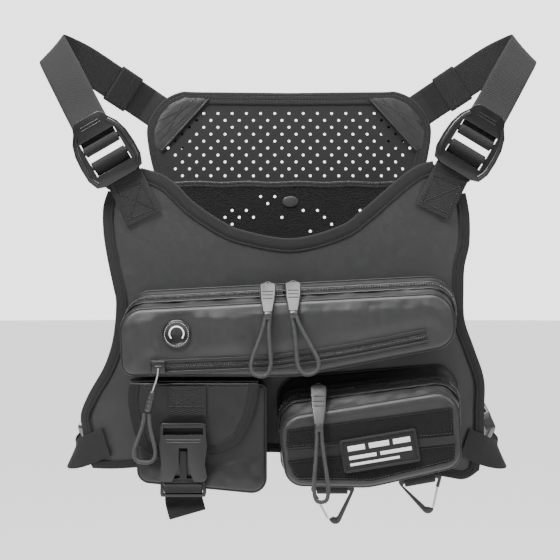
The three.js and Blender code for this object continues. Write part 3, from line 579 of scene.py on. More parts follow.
def swept(name, path, across, section, material, body, slot=None, replaces=(), closed=False,
          angle=40):
    """A piece that carries its cross-section along a path."""
    verts, faces, uvs = sweep(path, across, section, closed)
    return piece(name, verts, faces, material, body, slot, replaces, uvs, angle)


def band(name, path, across, width, material, body, slot=None, replaces=(), thick=WEB_THICK,
         step=2.0):
    """Webbing along a path; path and across share their stations."""
    both = resample(np.hstack([path, across]), step)
    return swept(name, both[:, :3], both[:, 3:], slab(width, thick), material, body, slot,
                 replaces, angle=50)


def round_section(radius, sides):
    turns = circle(sides)
    return np.stack([np.cos(turns), np.sin(turns)], 1) * radius


def rod(name, path, radius, material, body, slot=None, replaces=(), sides=10, closed=False):
    path = np.asarray(path, float)
    section = round_section(radius, sides)
    way = ways(path, closed)
    side = np.cross(way, (0.3, 1, 0.2))
    return swept(name, path, side, section, material, body, slot, replaces, closed, 60)


def filled(outline, spacing, holes=(), hole_radius=0.0):
    """Triangles over a flat outline in X and Z: (points, faces)."""
    low, high = outline.min(0), outline.max(0)
    rows = []
    for k, z in enumerate(np.arange(low[1] + spacing / 2, high[1], spacing * 0.87)):
        xs = np.arange(low[0] + spacing * (0.5 + 0.5 * (k % 2)), high[0], spacing)
        rows.append(np.stack([xs, np.full(len(xs), z)], 1))
    grid = np.vstack(rows) if rows else np.zeros((0, 2))
    grid = grid[inside(grid, outline)]
    grid = grid[edge_distance(grid, outline) > spacing * 0.55]
    n = len(outline)
    edges = [(i, (i + 1) % n) for i in range(n)]
    points = [outline]
    if len(holes):
        holes = np.asarray(holes, float)
        gap = np.linalg.norm(grid[:, None] - holes[None], axis=2).min(1)
        grid = grid[gap > hole_radius + spacing * 0.4]
        ring = round_section(hole_radius, 10)
        for hole in holes:
            start = sum(len(p) for p in points)
            points.append(hole + ring)
            edges += [(start + i, start + (i + 1) % 10) for i in range(10)]
    points = np.vstack([*points, grid])
    made = delaunay_2d_cdt([Vector(p) for p in points], edges, [], 1, 1e-6, False)
    flat = np.array([tuple(v) for v in made[0]])
    faces = [tuple(f) for f in made[2]]
    middle = np.array([flat[list(f)].mean(0) for f in faces])
    faces = [f for f, within in zip(faces, inside(middle, outline)) if within]
    if len(holes):
        middle = np.array([flat[list(f)].mean(0) for f in faces])
        gap = np.linalg.norm(middle[:, None] - holes[None], axis=2).min(1)
        faces = [f for f, g in zip(faces, gap) if g > hole_radius * 0.9]
    return flat, faces


def cloth(name, outline, front, thick, material, body, slot=None, replaces=(), spacing=4.0,
          holes=(), hole_radius=0.0, angle=40):
    """A flat-cut layer. front(points) gives the front's Y over points in X and Z."""
    flat, faces = filled(outline, spacing, holes, hole_radius)
    y = front(flat)
    fore = np.stack([flat[:, 0], y, flat[:, 1]], 1)
    rear = np.stack([flat[:, 0], y + thick, flat[:, 1]], 1)
    n = len(flat)
    seen = dict.fromkeys(pair for f in faces for pair in zip(f, f[1:] + f[:1]))
    rim = [(a, b) for a, b in seen if (b, a) not in seen]
    all_faces = faces + [tuple(i + n for i in reversed(f)) for f in faces]
    all_faces += [(b, a, a + n, b + n) for a, b in rim]
    verts = np.vstack([fore, rear])
    uvs = [(verts[i][0], verts[i][2]) for f in all_faces for i in f]
    return piece(name, verts, all_faces, material, body, slot, replaces, uvs, angle)


STITCH = np.array([(t, r * math.cos(a), r * math.sin(a))
                   for t, r in ((-1, 0.25), (-0.7, 0.85), (0.7, 0.85), (1, 0.25))
                   for a in circle(5)])
STITCH_FACES = ([(i * 5 + k, i * 5 + (k + 1) % 5, (i + 1) * 5 + (k + 1) % 5, (i + 1) * 5 + k)
                 for i in range(3) for k in range(5)] + [tuple(range(5)), tuple(range(15, 20))])


def stitches(name, paths, body, material=THREAD, pitch=3.4, length=2.5, radius=0.42, slot=None):
    """Rows of single stitches along lines that lie on the fabric."""
    verts, faces = [], []
    for path in paths:
        line = resample(path, pitch)
        way = ways(line)
        for at, along in zip(line, way):
            side = np.cross(along, UP if abs(along[2]) < 0.9 else (1.0, 0, 0))
            side = unit(side)
            third = np.cross(along, side)
            start = len(verts)
            verts += list(at + STITCH[:, :1] * along * length / 2 + STITCH[:, 1:2] * side * radius
                          + STITCH[:, 2:] * third * radius)
            faces += [tuple(start + i for i in f) for f in STITCH_FACES]
    return piece(name, verts, faces, material, body, slot or "binding_tape", angle=60)


def prism(outline, back, front):
    """Corners and faces of an outline in X and Z, thickened in Y."""
    n = len(outline)
    verts = [(x, back, z) for x, z in outline] + [(x, front, z) for x, z in outline]
    faces = [tuple(range(n)), tuple(range(2 * n - 1, n - 1, -1))]
    faces += [(i, i + n, (i + 1) % n + n, (i + 1) % n) for i in range(n)]
    return verts, faces


def baked(obj):
    """Applies an object's modifiers to its own mesh."""
    graph = bpy.context.evaluated_depsgraph_get()
    made = bpy.data.meshes.new_from_object(obj.evaluated_get(graph))
    obj.modifiers.clear()
    obj.data = made
    return obj


def rounded(obj, width, segments=3, angle=35):
    """Rounds the edges of a moulded piece."""
    clean = bmesh.new()
    clean.from_mesh(obj.data)
    bmesh.ops.remove_doubles(clean, verts=clean.verts, dist=0.00002)
    bmesh.ops.dissolve_limit(clean, angle_limit=math.radians(2), verts=clean.verts,
                             edges=clean.edges)
    clean.to_mesh(obj.data)
    clean.free()
    modifier = obj.modifiers.new("round", "BEVEL")
    modifier.width = width * MM
    modifier.segments = segments
    modifier.limit_method = "ANGLE"
    modifier.angle_limit = math.radians(angle)
    modifier.harden_normals = False
    return baked(obj)


def moulded(node, width, material, segments=3, angle=35):
    """A frame node's shape with its edges rounded, which then stands for it."""
    obj = bpy.data.objects.new(node + "_moulded", frame["nodes"][node].data.copy())
    bpy.context.scene.collection.objects.link(obj)
    rounded(obj, width, segments, angle)
    return settle(obj, material, BODY_OF[node], None, node, 32)


# -------------------------------------------------------------- camera and studio
scene = bpy.context.scene
camera = bpy.data.cameras.new("camera")
camera.sensor_width = 36
camera.lens = 90
camera.clip_end = 50
eye = bpy.data.objects.new("camera", camera)
eye.location = (-0.007, -1.425, 0.04)
eye.rotation_euler = (math.radians(90), 0, 0)
scene.collection.objects.link(eye)
scene.camera = eye

# A pale studio: bright behind the object, softer in front of it, over a pale floor.
world = bpy.data.worlds.new("studio")
scene.world = world
world.use_nodes = True
sky = world.node_tree
coords = sky.nodes.new("ShaderNodeTexCoord")
facing = sky.nodes.new("ShaderNodeVectorMath")
facing.operation = "DOT_PRODUCT"
facing.inputs[1].default_value = (0, 1, 0)
level = sky.nodes.new("ShaderNodeMapRange")
for key, value in (("From Min", 0.6), ("From Max", 0.96), ("To Min", 0.25), ("To Max", 2.7)):
    level.inputs[key].default_value = value
sky.links.new(coords.outputs["Generated"], facing.inputs[0])
sky.links.new(facing.outputs["Value"], level.inputs["Value"])
sky.links.new(level.outputs["Result"], sky.nodes["Background"].inputs["Strength"])
sky.nodes["Background"].inputs["Color"].default_value = (1, 1, 1, 1)

n = Nodes("pale_floor")
n.shader.inputs["Emission Color"].default_value = (1, 1, 1, 1)
PAPER = n.finish((0.86, 0.86, 0.85, 1), 0.9, None, Emission_Strength=1.17)
FLOOR_RADIUS, FLOOR_SIDES, FLOOR_Z = 30, 96, -0.85
mesh = bpy.data.meshes.new("floor")
mesh.from_pydata([(x, y, FLOOR_Z) for x, y in round_section(FLOOR_RADIUS, FLOOR_SIDES)], [],
                 [tuple(range(FLOOR_SIDES))])
floor = bpy.data.objects.new("floor", mesh)
mesh.materials.append(PAPER)
scene.collection.objects.link(floor)

AIM = Vector((0, 0, 0.03))
LAMPS = [("key", (-0.7, -0.8, 1.5), 0.6, 74), ("side", (1.3, -0.6, 0.9), 0.6, 16),
         ("top", (0.1, -0.25, 1.4), 0.8, 40), ("front", (-0.3, -2.0, 0.3), 1.0, 2)]
for name, at, size, power in LAMPS:
    data = bpy.data.lights.new(name, "AREA")
    data.size, data.energy = size, power
    lamp = bpy.data.objects.new(name, data)
    lamp.location = at
    lamp.rotation_euler = (AIM - Vector(at)).to_track_quat("-Z", "Y").to_euler()
    scene.collection.objects.link(lamp)

# ------------------------------------------------------------------ cords, first
LOOP_HALF = [[0, 0], [.02, -.1], [.12, -.22], [.34, -.38], [.64, -.55], [.9, -.7],
             [1, -.82], [.82, -.93], [.4, -.985]]


def cord_loop(name, body, neck, lean, width, drop):
    """A loop that hangs from a neck: one open line down, round and up again."""
    x, y, z = neck
    half, start, fall = (width - CORD) / 2, CORD / 2 + 0.25, drop - CORD / 2
    down = [(start + (half - start) * share, v * fall) for share, v in LOOP_HALF]
    line = [(-u, v) for u, v in down] + [(0, -fall)] + down[::-1]
    flat = np.array([turned(u, v, lean, x, z) for u, v in line])
    points = resample(spline(on_face(flat, y), 8), 1.5)
    curve = bpy.data.curves.new(name, "CURVE")
    curve.dimensions = "3D"
    curve.bevel_depth = CORD / 2 * MM
    curve.bevel_resolution = 4
    curve.use_fill_caps = True
    line = curve.splines.new("POLY")
    line.points.add(len(points) - 1)
    for point, at in zip(line.points, points):
        point.co = (*(at * MM), 1)
    obj = bpy.data.objects.new(name + "_braid", curve)
    settle(obj, BRAID, body, "cord", name)
    lengths(points)[-1] * MM


PULLS = [("main_left", -19, (-20.43, -30.28, 34.50), 27, -8, 23, 61),
         ("main_right", 6, (1.57, -30.28, 35.65), 27, 17, 24, 62),
         ("right", 31, (33.16, -33.07, -65.73), 36, 2, 18, 74)]
PULL_Y, FACE_PULL_Y = -61, -58.6
for name, x, pivot, fall, lean, width, drop in PULLS:
    cord_loop(name + "_cord", name + "_pull", (x, PULL_Y, pivot[2] - fall - 2.8), lean, width, drop)
cord_loop("face_cord", "face_wire", (-137, FACE_PULL_Y, -90.2), -3, 25, 50)


# ------------------------------------------------------------------- front panel
def tape_section(width, front, back, groove=2.8):
    """A folded tape: from its rolled outer edge to its inner hems, front and back."""
    middle, half = (front + back) / 2, (back - front) / 2
    face = [(0, 0.15), (0.25, 0.62), (1.1, 0.93), (2.6, 1), (width * 0.5, 1.04),
            (width - groove - 0.9, 1), (width - groove, 0.8), (width - groove + 0.9, 1),
            (width - 0.7, 0.94), (width, 0.7), (width + 0.1, 0.3)]
    rear = [(x, min(y, 1.0)) for x, y in face]
    return np.array([(x, middle - y * half) for x, y in face]
                    + [(x, middle + y * half) for x, y in reversed(rear)])


def binding(name, run, width, node, front=-5.3, back=-0.05, curved=True):
    """Edge tape folded over a run, with its line of stitches."""
    line = resample(run, 2.5)
    way = ways(line)
    flat = on_panel(line, 0) if curved else on_face(line, 0)
    slope = wing_slope(line[:, 0]) if curved else 0 * line[:, 0]
    across = np.stack([-way[:, 1], -way[:, 1] * slope, way[:, 0]], 1)
    section = tape_section(width, front, back)
    pucker = np.array([noise.noise(Vector((k * 0.55, width, 0))) for k in range(len(line))])
    shapes = np.repeat(section[None], len(line), 0)
    squeeze = 1 + 0.05 * pucker[:, None]
    shapes[:, :, 1] = back + (shapes[:, :, 1] - back) * squeeze
    body = BODY_OF[node]
    swept(name, flat, across, shapes, TAPE, body, None, node, angle=60)
    inner = offset(line, width - 2.8)
    seam = on_panel(inner, front + 0.45) if curved else on_face(inner, front + 0.45)
    stitches(name + "_stitches", [seam], body, pitch=3.1, length=2.3, radius=0.45)


hem, right, neck, left = (spline(run, 8) for run in (HEM, RIGHT, NECK, LEFT))
OUTLINE = resample(np.vstack([hem, right, neck, left]), 4.5, True)
OUTLINE = offset(OUTLINE, 1.8, True)


def panel_front(points):
    calm = ease(edge_distance(points, OUTLINE) / 25)
    rumple = (0.8 * ripple(points, 30, 3.1) + 0.45 * ripple(points, 11, 6.1, (1, 2))) * calm
    return wing_back(points[:, 0]) + PANEL_FRONT + 0.15 + rumple


front_cloth = cloth("front_panel_cloth", OUTLINE, panel_front, 1.7, COATED, "vest", None,
                    "front_panel", 5)
cloth("chest_lining_mesh", offset(OUTLINE, 0.6, True),
      lambda p: wing_back(p[:, 0]) - 1.95, 1.95, LINING, "vest", None, "chest_lining", 7)
for name, run, width, node in (("neck", neck, NECK_TAPE, "neck_binding"),
                               ("right_side", right, SIDE_TAPE, "side_binding_right"),
                               ("left_side", left, SIDE_TAPE, "side_binding_left"),
                               ("hem", hem, HEM_TAPE, "hem_binding")):
    binding(name + "_tape", run, width, node)

# -------------------------------------------------------------------- back panel
half_back = spline(BACK_HALF, 6)
back_run = np.vstack([half_back, (half_back * [-1, 1])[::-1][1:-1]]) + [BACK_X, 0]
back_run = resample(back_run, 3, True)
back_edge = offset(back_run, -3, True)
back_field = offset(back_run, -BACK_TAPE - 1.5, True)
holes = [(BACK_X + 7.9 * (2 * i + k % 2), 25 + 7.7 * k) for k in range(30) for i in range(-11, 12)]
holes = np.array(holes, float)
holes = holes[inside(holes, back_field)]
holes = holes[edge_distance(holes, back_field) > 3]
holes = holes[np.abs(holes[:, 1] - 146) > 5]


def back_front(points):
    fold = 0.35 * ripple(points, 22, 9.0, (1, 2)) * ease(edge_distance(points, back_edge) / 30)
    return BACK_Y + 0.35 + fold


foam = cloth("back_panel_foam", back_edge, back_front, BACK_THICK - 0.9, FOAM, "vest", None,
             "back_panel", 5.5, holes, 1.6)
way = ways(back_run, True)
across = np.stack([way[:, 1], 0 * way[:, 0], -way[:, 0]], 1)
w, h = BACK_TAPE, BACK_THICK / 2 + TAPE_THICK
ridge = [(x, h * y) for x, y in ((0, .2), (.3, .7), (1.4, .97), (3.4, 1), (4.6, .86), (5.6, 1),
                                 (8, 1), (9, .86), (10, 1), (12.6, 1), (w - 1, .93), (w - .1, .6))]
section = np.array(ridge + [(x, -y) for x, y in reversed(ridge)])
swept("back_tape", on_face(back_run, BACK_Y + 2), across, section, TAPE, "vest", None,
      "back_binding", True, 60)
for depth in (4.6, 9):
    seam = offset(back_run, -depth, True)
    for name, y in (("inner", BACK_Y - 0.75), ("outer", BACK_Y + BACK_THICK + 0.75)):
        stitches(f"back_tape_{name}_{int(depth)}", [on_face(seam, y)], "vest", pitch=3.6,
                 length=2.7)

# The lower half of the back is a second, darker layer, joined by a puckered seam.
low = back_field[back_field[:, 1] < 144]
order = np.argsort(np.arctan2(low[:, 1] - 80, low[:, 0] - BACK_X))
low = resample(low[order], 4, True)
low_holes = holes[inside(holes, low) & (edge_distance(holes, low) > 3)]
low_holes = np.array([hole for hole in low_holes if random.random() < 0.22])
cloth("back_lower_mesh", low, lambda p: BACK_Y - 0.9 + 0.25 * ripple(p, 14, 4.0), 0.9, LINING,
      "vest", "spacer_mesh", (), 6, low_holes, 1.9)
seam = np.array([(x, 146 + 0.6 * math.sin(x / 9)) for x in np.arange(-136, 143, 2.0)])
path = on_face(seam, BACK_Y - 0.7)
shapes = np.repeat(slab(7, 1.6)[None], len(path), 0)
shapes[:, :, 1] *= (1 + 0.35 * np.sin(np.arange(len(path)) * 1.6))[:, None]
swept("back_seam", path, same(UP, path), shapes, DARK_TRIM_AND_POUCH_SHADE, "vest", "coated_cloth")
stitches("back_seam_stitches", [path + [0, -1.0, 1.5], path + [0, -1.0, -1.5]], "vest")
tab = [(BACK_X + 1.5 + 9 * math.cos(a), 127 + 6 * math.sin(a)) for a in circle(24)]
tab = piece("back_tab", *prism(tab, BACK_Y + 0.5, BACK_Y - 2.2), RUBBER, None)
rounded(tab, 1.0)
settle(tab, RUBBER, "vest", "rubber")
# The fold along each corner patch, then its rows of stitches.
CORNER_ROWS = [[(89, 241), (141, 184)], [(97, 238), (143, 196)], [(104, 241), (146, 203)],
               [(116, 238), (134, 206)], [(104, 236), (146, 216)]]
for sign, side in ((-1, "left"), (1, "right")):
    corner = np.array([[88, 243], [116, 243], [131, 236], [144, 222], [150, 205], [149, 187],
                       [140, 182]], float) * [sign, 1] + [BACK_X, 0]
    corner = corner if sign < 0 else corner[::-1]
    corner = resample(corner, 3, True)
    cloth(f"back_corner_{side}", corner,
          lambda p, c=corner: BACK_Y - 1.7 + 0.9 * (1 - ease(edge_distance(p, c) / 4))
          + 0.25 * ripple(p, 9, 2.0), 1.2, COATED, "vest", "coated_cloth", (), 3)
    rows = [np.array([[x * sign + BACK_X, BACK_Y - 1.9, z] for x, z in row])
            for row in CORNER_ROWS]
    rod(f"back_corner_fold_{side}", resample(rows[0], 3), 1.1, COATED, "vest", "coated_cloth")
    stitches(f"back_corner_stitches_{side}", rows[1:], "vest")

# --------------------------------------------------------- shoulders, both sides
SIDES = [dict(name="left", sign=-1, x=-184, z=171, tilt=30, lift=0, foot=(-144.5, 102.5),
              head=(-164, 142), lean=22, edge=208),
         dict(name="right", sign=1, x=187, z=178, tilt=-31, lift=7, foot=(147.5, 109),
              head=(167, 149), lean=-23, edge=205)]
# The lock's depth, how far webbing stands off a bar's middle, and the two bars' heights.
LOCK_Y, WRAP, LOW, HIGH = -10.5, 4.2, -9.5, 7.5
# How the straps lie over the back, and where their middle line is.
STRAP_LEAN, STRAP_X = 57, 1.5


def lock_point(side, u, v, y):
    x, z = turned(u, v, side["tilt"], side["x"], side["z"])
    return np.array([x, y, z])


def across_at(degrees, sign=1):
    a = math.radians(degrees)
    return np.array([sign * math.cos(a), 0, math.sin(a)])


def box_and_cross(name, centre, wide, up, half, tall, body):
    """Stitches in a rectangle with a cross, as sewn where webbing takes a load."""
    c, w, u = (np.asarray(v, float) for v in (centre, wide, up))
    at = lambda i, j: c + w * half * i + u * tall * j
    rows = [(at(-1, -1), at(1, -1)), (at(1, -1), at(1, 1)), (at(1, 1), at(-1, 1)),
            (at(-1, 1), at(-1, -1)), (at(-1, -1), at(1, 1)), (at(1, -1), at(-1, 1))]
    stitches(name, [np.array(row) for row in rows], body, pitch=2.9, length=2.2, radius=0.4)


OVER = [[212, 10, 217, 30, .6], [231, 26, 252, 34, .3], [246, 48, 278, 42, 0],
        [250, 66, 286, 50, 0], [240, 84, 284, 55, 0], [220, 98, 275, 57, 0],
        [188, 117.5, 255, 57, 0], [172, 127.25, 245, 57, 0], [160, 134.56, 237.5, 57, 0],
        [154, 137, 233.5, 57, 0], [134, 137, 220, 57, 0], [106, 137, 201, 57, 0]]
ANCHOR = [(-28, WRAP), (-20.5, WRAP), (LOW - WRAP, 0), (LOW - .7 * WRAP, -.75 * WRAP),
          (LOW, -WRAP), (LOW + .7 * WRAP, -.75 * WRAP), (LOW + WRAP, 0),
          (LOW + .7 * WRAP, .75 * WRAP), (LOW, WRAP + .3), (-20, WRAP + 2.2),
          (-31, WRAP + 2.4)]
STRAP = [(33, WRAP + .9), (18.5, WRAP + .4), (14.3, WRAP - .5), (HIGH + WRAP, 1),
         (HIGH + .75 * WRAP, -.75 * WRAP), (HIGH, -WRAP), (HIGH - .75 * WRAP, -.75 * WRAP),
         (HIGH - 1.1 * WRAP, .4 * WRAP), (HIGH - 3, WRAP + .4), (HIGH + 1.5, WRAP + 1.7),
         (16, WRAP + 2.7), (30, WRAP + 3.3)]

for side in SIDES:
    name, s = side["name"], side["sign"]
    sewn = across_at(side["lean"])
    flat = across_at(side["tilt"])
    ends = [(side["foot"][0], -6.4, side["foot"][1]), (side["head"][0], -6.4, side["head"][1])]
    stops = [(*at, *sewn) for at in ends]
    stops += [(*lock_point(side, 0, v, LOCK_Y + d), *flat) for v, d in ANCHOR]
    line = spline(stops, 6)
    band(f"anchor_web_{name}", line[:, :3], line[:, 3:], WEBBING, WEB, "vest", None,
         f"shoulder_anchor_{name}", step=1.5)
    foot, head = (np.array(at, float) for at in ends)
    up = unit(head - foot)
    box_and_cross(f"anchor_box_{name}", foot + up * 20 + [0, -1.1, 0], sewn, up, 14, 15, "vest")

    stops = [(*lock_point(side, 0, v, LOCK_Y + d), *across_at(abs(side["tilt"]), -s))
             for v, d in STRAP]
    stops += [(s * x + STRAP_X, y, z + lift * side["lift"], *across_at(deg, -s))
              for x, y, z, deg, lift in OVER]
    line = spline(stops, 6)
    band(f"strap_web_{name}", line[:, :3], line[:, 3:], WEBBING, WEB, "vest", None,
         f"shoulder_strap_{name}", step=1.5)
    down = unit(np.array([-s * 28.0, 0, -19.0]))
    box_and_cross(f"strap_box_{name}", np.array([s * 120 + STRAP_X, 138.1, 210.5]),
                  across_at(STRAP_LEAN, -s), down, 14, 12, "vest")

    moulded(f"ladder_lock_{name}", 1.1, PLASTIC)
    for cheek in (-1, 1):
        ridge = [lock_point(side, cheek * u, v, LOCK_Y - 2.9) for u, v in
                 ((22.5, -27), (26, -19), (26.6, -6), (25.6, 8), (22.4, 19), (18, 26))]
        rod(f"lock_cheek_{name}_{'inner' if cheek == -s else 'outer'}",
            resample(spline(ridge, 6), 1.5), 1.9, PLASTIC, "vest", "plastic")
    for k, v in enumerate((27.5, 30.5)):
        bar = np.array([lock_point(side, u, v, LOCK_Y - 3.0) for u in (-11 + k, 11 - k)])
        rod(f"lock_grip_{name}_{k}", resample(bar, 3), 0.7, PLASTIC, "vest", "plastic")

    # The keeper: an elastic sleeve round the strap.
    a, b = np.array([188 * s + STRAP_X, 117.5, 255]), np.array([172 * s + STRAP_X, 127.25, 245])
    way = unit(b - a)
    middle = a + (b - a) * 0.4
    wide = across_at(STRAP_LEAN, -s)
    wide = unit(wide - (wide @ way) * way)
    out = np.cross(way, wide)
    half_w, half_t, r = WEBBING / 2 + 1.5, WEB_THICK / 2 + 1.6, 1.7
    quarter = [(half_w - r + r * math.cos(t), half_t - r + r * math.sin(t))
               for t in np.linspace(0, math.pi / 2, 6)]
    ring = (quarter + [(-u, v) for u, v in reversed(quarter)] + [(-u, -v) for u, v in quarter]
            + [(u, -v) for u, v in reversed(quarter)])
    path = resample(np.array([middle + wide * u + out * v for u, v in ring]), 1.5, True)
    section = slab(27, 1.4, 16)
    section[:, 1] += 0.12 * np.sin(section[:, 0] * 1.2)
    body = f"keeper_{name}"
    swept(f"keeper_sleeve_{name}", path, same(way, path), section, ELASTIC, body, None,
          f"strap_keeper_{name}", True)
    for face_side in (-1, 1):
        seam = np.array([middle + way * 4.5 + wide * u + out * face_side * (half_t + 0.75)
                         for u in (-17, 17)])
        stitches(f"keeper_seam_{name}_{face_side + 1}", [seam], body, pitch=2.8, length=2.1)


# ----------------------------------------------------------------------- pockets
class Ring:
    """A closed outline of straight sides and round corners. A place on it is a corner
    number plus a share: the arc up to a half, then the side to the next corner."""

    def __init__(self, corners, radii):
        corners = np.asarray(corners, float)
        self.arcs = []
        count = len(corners)
        for i, r in enumerate(radii):
            p, a, b = corners[i], corners[i - 1], corners[(i + 1) % count]
            u, v = unit(a - p), unit(b - p)
            half = math.acos(np.clip(u @ v, -1, 1)) / 2
            middle = p + (u + v) / np.linalg.norm(u + v) * r / math.sin(half)
            start, end = p + u * r / math.tan(half) - middle, p + v * r / math.tan(half) - middle
            turn = math.atan2(start[0] * end[1] - start[1] * end[0], start @ end)
            self.arcs.append((middle, start, turn))

    def on_arc(self, i, share):
        middle, start, turn = self.arcs[i % len(self.arcs)]
        c, s = math.cos(turn * share), math.sin(turn * share)
        return middle + np.array([start[0] * c - start[1] * s, start[0] * s + start[1] * c])

    def at(self, place):
        i, f = int(place // 1), place % 1
        if f <= 0.5:
            return self.on_arc(i, f * 2)
        k = f * 2 - 1
        return self.on_arc(i, 1) * (1 - k) + self.on_arc(i + 1, 0) * k

    def line(self, places):
        return np.array([self.at(p) for p in places])

    def places(self, step):
        """Places all round it, about one step apart."""
        out = []
        for i in range(len(self.arcs)):
            for a, b in ((i, i + 0.5), (i + 0.5, i + 1)):
                gap = np.linalg.norm(np.diff(self.line(np.linspace(a, b, 9)), axis=0), axis=1).sum()
                out += list(np.linspace(a, b, max(int(gap / step), 2), endpoint=False))
        return out


MAIN = dict(back=[[12, -52], [172, -20], [167, 44], [-159, 27], [-157, -50]],
            front=[[12, -54], [166, -24], [163, 27], [-165, 10], [-162, -54]],
            radii=[60, 22, 24, 22, 12], face=-50, crown=3.5, chain=[.38, .57])
LOWER = dict(back=[[80, -160], [172, -141], [172, -45], [-10, -60], [-4, -158]],
             front=[[80, -164], [172, -143], [168, -68], [-9, -96], [0, -162]],
             radii=[80, 18, 22, 22, 18], face=-50, crown=3.5, chain=[.4, .6])
POUCH = dict(back=[[-22, -168], [-22, -63], [-150, -63], [-147, -157]],
             front=[[-21, -171], [-21, -63], [-150, -63], [-147, -159]],
             radii=[14, 6, 6, 12], face=-44, crown=3, chain=None)
FACE_ZIP = spline([[-134, -46], [-104, -44.8], [-74, -43.6], [-44, -42.4], [-8, -40], [60, -30],
                   [137, -15]], 6)
PORT = np.array([-108.5, -13.0])


def main_swell(p):
    """How far the main pocket's face stands out, over points in X and Z."""
    gap = edge_distance(p, FACE_ZIP, False)
    port = np.hypot(*(p - PORT).T)
    free = ease((gap - 6) / 15) * ease((port - 15.5) / 14)
    soft = 2.9 + 1.7 * ripple(p, 26, 1.0, (1, 1.7)) + 1.3 * ripple(p, 9, 5.0, (1, 3.2))
    return free * soft + 0.12 * ripple(p, 6, 8.0)


def lower_swell(p):
    above = ease((p[:, 1] + 106 - 0.13 * p[:, 0]) / 10)
    return above * (1.4 + 1.2 * ripple(p, 13, 2.0, (1.6, 1))) + 0.12 * ripple(p, 7, 3.0)


def pouch_swell(p):
    free = ease((-139 - p[:, 1] + 0.25 * np.abs(p[:, 0] + 95) - 8) / 7)
    return free * (1.5 + 1.6 * ripple(p, 10, 6.0, (1, 1.6)))


def pocket_shell(name, node, pocket, swell, gather, material):
    """The sewn shell: a gusset that rises from the panel, and a rounded face."""
    rear, fore = (Ring(pocket[k], pocket["radii"]) for k in ("back", "front"))
    places = rear.places(3.0)
    a, b = rear.line(places), fore.line(places)
    face, crown = pocket["face"], pocket["crown"]
    rows = [(a, np.full(len(a), POCKET_BACK)), (a, np.full(len(a), POCKET_STEP + 1))]
    low, high = pocket["chain"] or (2, 2)
    zipped = [1.7 < p < 3.8 and bool(pocket["chain"]) for p in places]
    way = ways(b, True)
    outward = np.stack([way[:, 1], -way[:, 0]], 1)
    for share in np.linspace(0, 1, 15)[1:]:
        flat = a * (1 - share) + b * share
        y = POCKET_STEP + (face + crown - POCKET_STEP) * share
        free = np.array([ease(min(abs(share - low), abs(share - high), 0.2) / 0.12) if z else 1
                         for z in zipped]) * ease((1 - share) / 0.15) * ease(share / 0.1)
        free *= np.array([0.0 if z and low < share < high else 1.0 for z in zipped])
        fold = np.array([noise.noise(Vector((x / 13, y / 9, z / 13))) for x, z in flat])
        rows.append((flat + outward * (free * fold * gather)[:, None], np.full(len(flat), y)))
    for turn in np.linspace(0, 1, 6)[1:]:
        t = turn * math.pi / 2
        inward, rise = 0.5 * (1 - math.cos(t) + turn), 0.5 * (math.sin(t) + turn)
        flat = offset(b, crown * inward, True)
        rows.append((flat, np.full(len(flat), face + crown - crown * rise)))
    verts, faces, n = [], [], len(places)
    for flat, y in rows:
        verts += [(x, yy, z) for (x, z), yy in zip(flat, y)]
    for i in range(len(rows) - 1):
        faces += [(i * n + k, i * n + (k + 1) % n, (i + 1) * n + (k + 1) % n, (i + 1) * n + k)
                  for k in range(n)]
    rim = rows[-1][0]
    flat, inner = filled(rim, 3.6)
    start = len(verts) - n
    gap = edge_distance(flat, rim)
    pucker = 0.75 * ripple(flat, 4.6, 9.0) * np.exp(-((gap - 4) / 4.5) ** 2)
    lift = swell(flat) * ease(gap / 10) + pucker * ease(gap / 3)
    verts += [(x, face - s, z) for (x, z), s in zip(flat[n:], lift[n:])]
    faces += [tuple(start + i for i in f) for f in inner]
    obj = piece(name, verts, faces, material, None)
    thick = obj.modifiers.new("thick", "SOLIDIFY")
    thick.thickness = 1.3 * MM
    thick.offset = -1
    baked(obj)
    return settle(obj, material, BODY_OF[node], None, node, 50)


pocket_shell("main_pocket_cloth", "main_pocket_shell", MAIN, main_swell, 1.7, COATED)
pocket_shell("right_pocket_cloth", "right_pocket_shell", LOWER, lower_swell, 1.8, COATED)
# The flap pouch takes the darker coated copy: partly a more matte cloth, partly painted shade for the
# light falling off towards the bottom.
pocket_shell("flap_pouch_cloth", "flap_pouch_shell", POUCH, pouch_swell, 1.8, DARK_TRIM_AND_POUCH_SHADE)


def grains(name, at, way, up, length, width, height, material, body, slot=None, replaces=()):
    """Many small rounded blocks, such as the teeth of a zip."""
    profile = [(-1, .55), (-.75, 1), (.75, 1), (1, .55)]
    turns = circle(6) + math.pi / 6
    verts, faces = [], []
    for p, w, u in zip(at, way, up):
        side = np.cross(w, u)
        start = len(verts)
        for t, r in profile:
            verts += [p + w * t * length / 2 + side * math.cos(a) * r * width / 2
                      + u * math.sin(a) * r * height / 2 for a in turns]
        faces += [(start + i * 6 + k, start + i * 6 + (k + 1) % 6, start + i * 6 + 6 + (k + 1) % 6,
                   start + i * 6 + 6 + k) for i in range(3) for k in range(6)]
        faces += [tuple(range(start, start + 6)), tuple(range(start + 18, start + 24))]
    return piece(name, verts, faces, material, body, slot, replaces, angle=70)


def zip_teeth(name, path, across, out, body, node, reach=2.3, pitch=2.5, height=1.8):
    """Two rows of slanted teeth that meet along the middle."""
    count = int(lengths(path)[-1] / pitch)
    both = resample(np.hstack([path, across, out]), lengths(path)[-1] / count)
    at, side, up = both[:, :3], both[:, 3:6], both[:, 6:]
    way = ways(at)
    centres, turned, ups = [], [], []
    for row, shift in ((1, 0.0), (-1, 0.5)):
        lean = side * row * 0.86 - way * 0.5
        lean /= np.linalg.norm(lean, axis=1, keepdims=True)
        centres.append(at + side * row * reach * 0.52 + way * (shift * pitch))
        turned.append(lean)
        ups.append(up)
    grains(name, np.vstack(centres)[:-1], np.vstack(turned), np.vstack(ups), reach * 1.5, pitch * 0.62,
           height, TEETH, body, None, node)


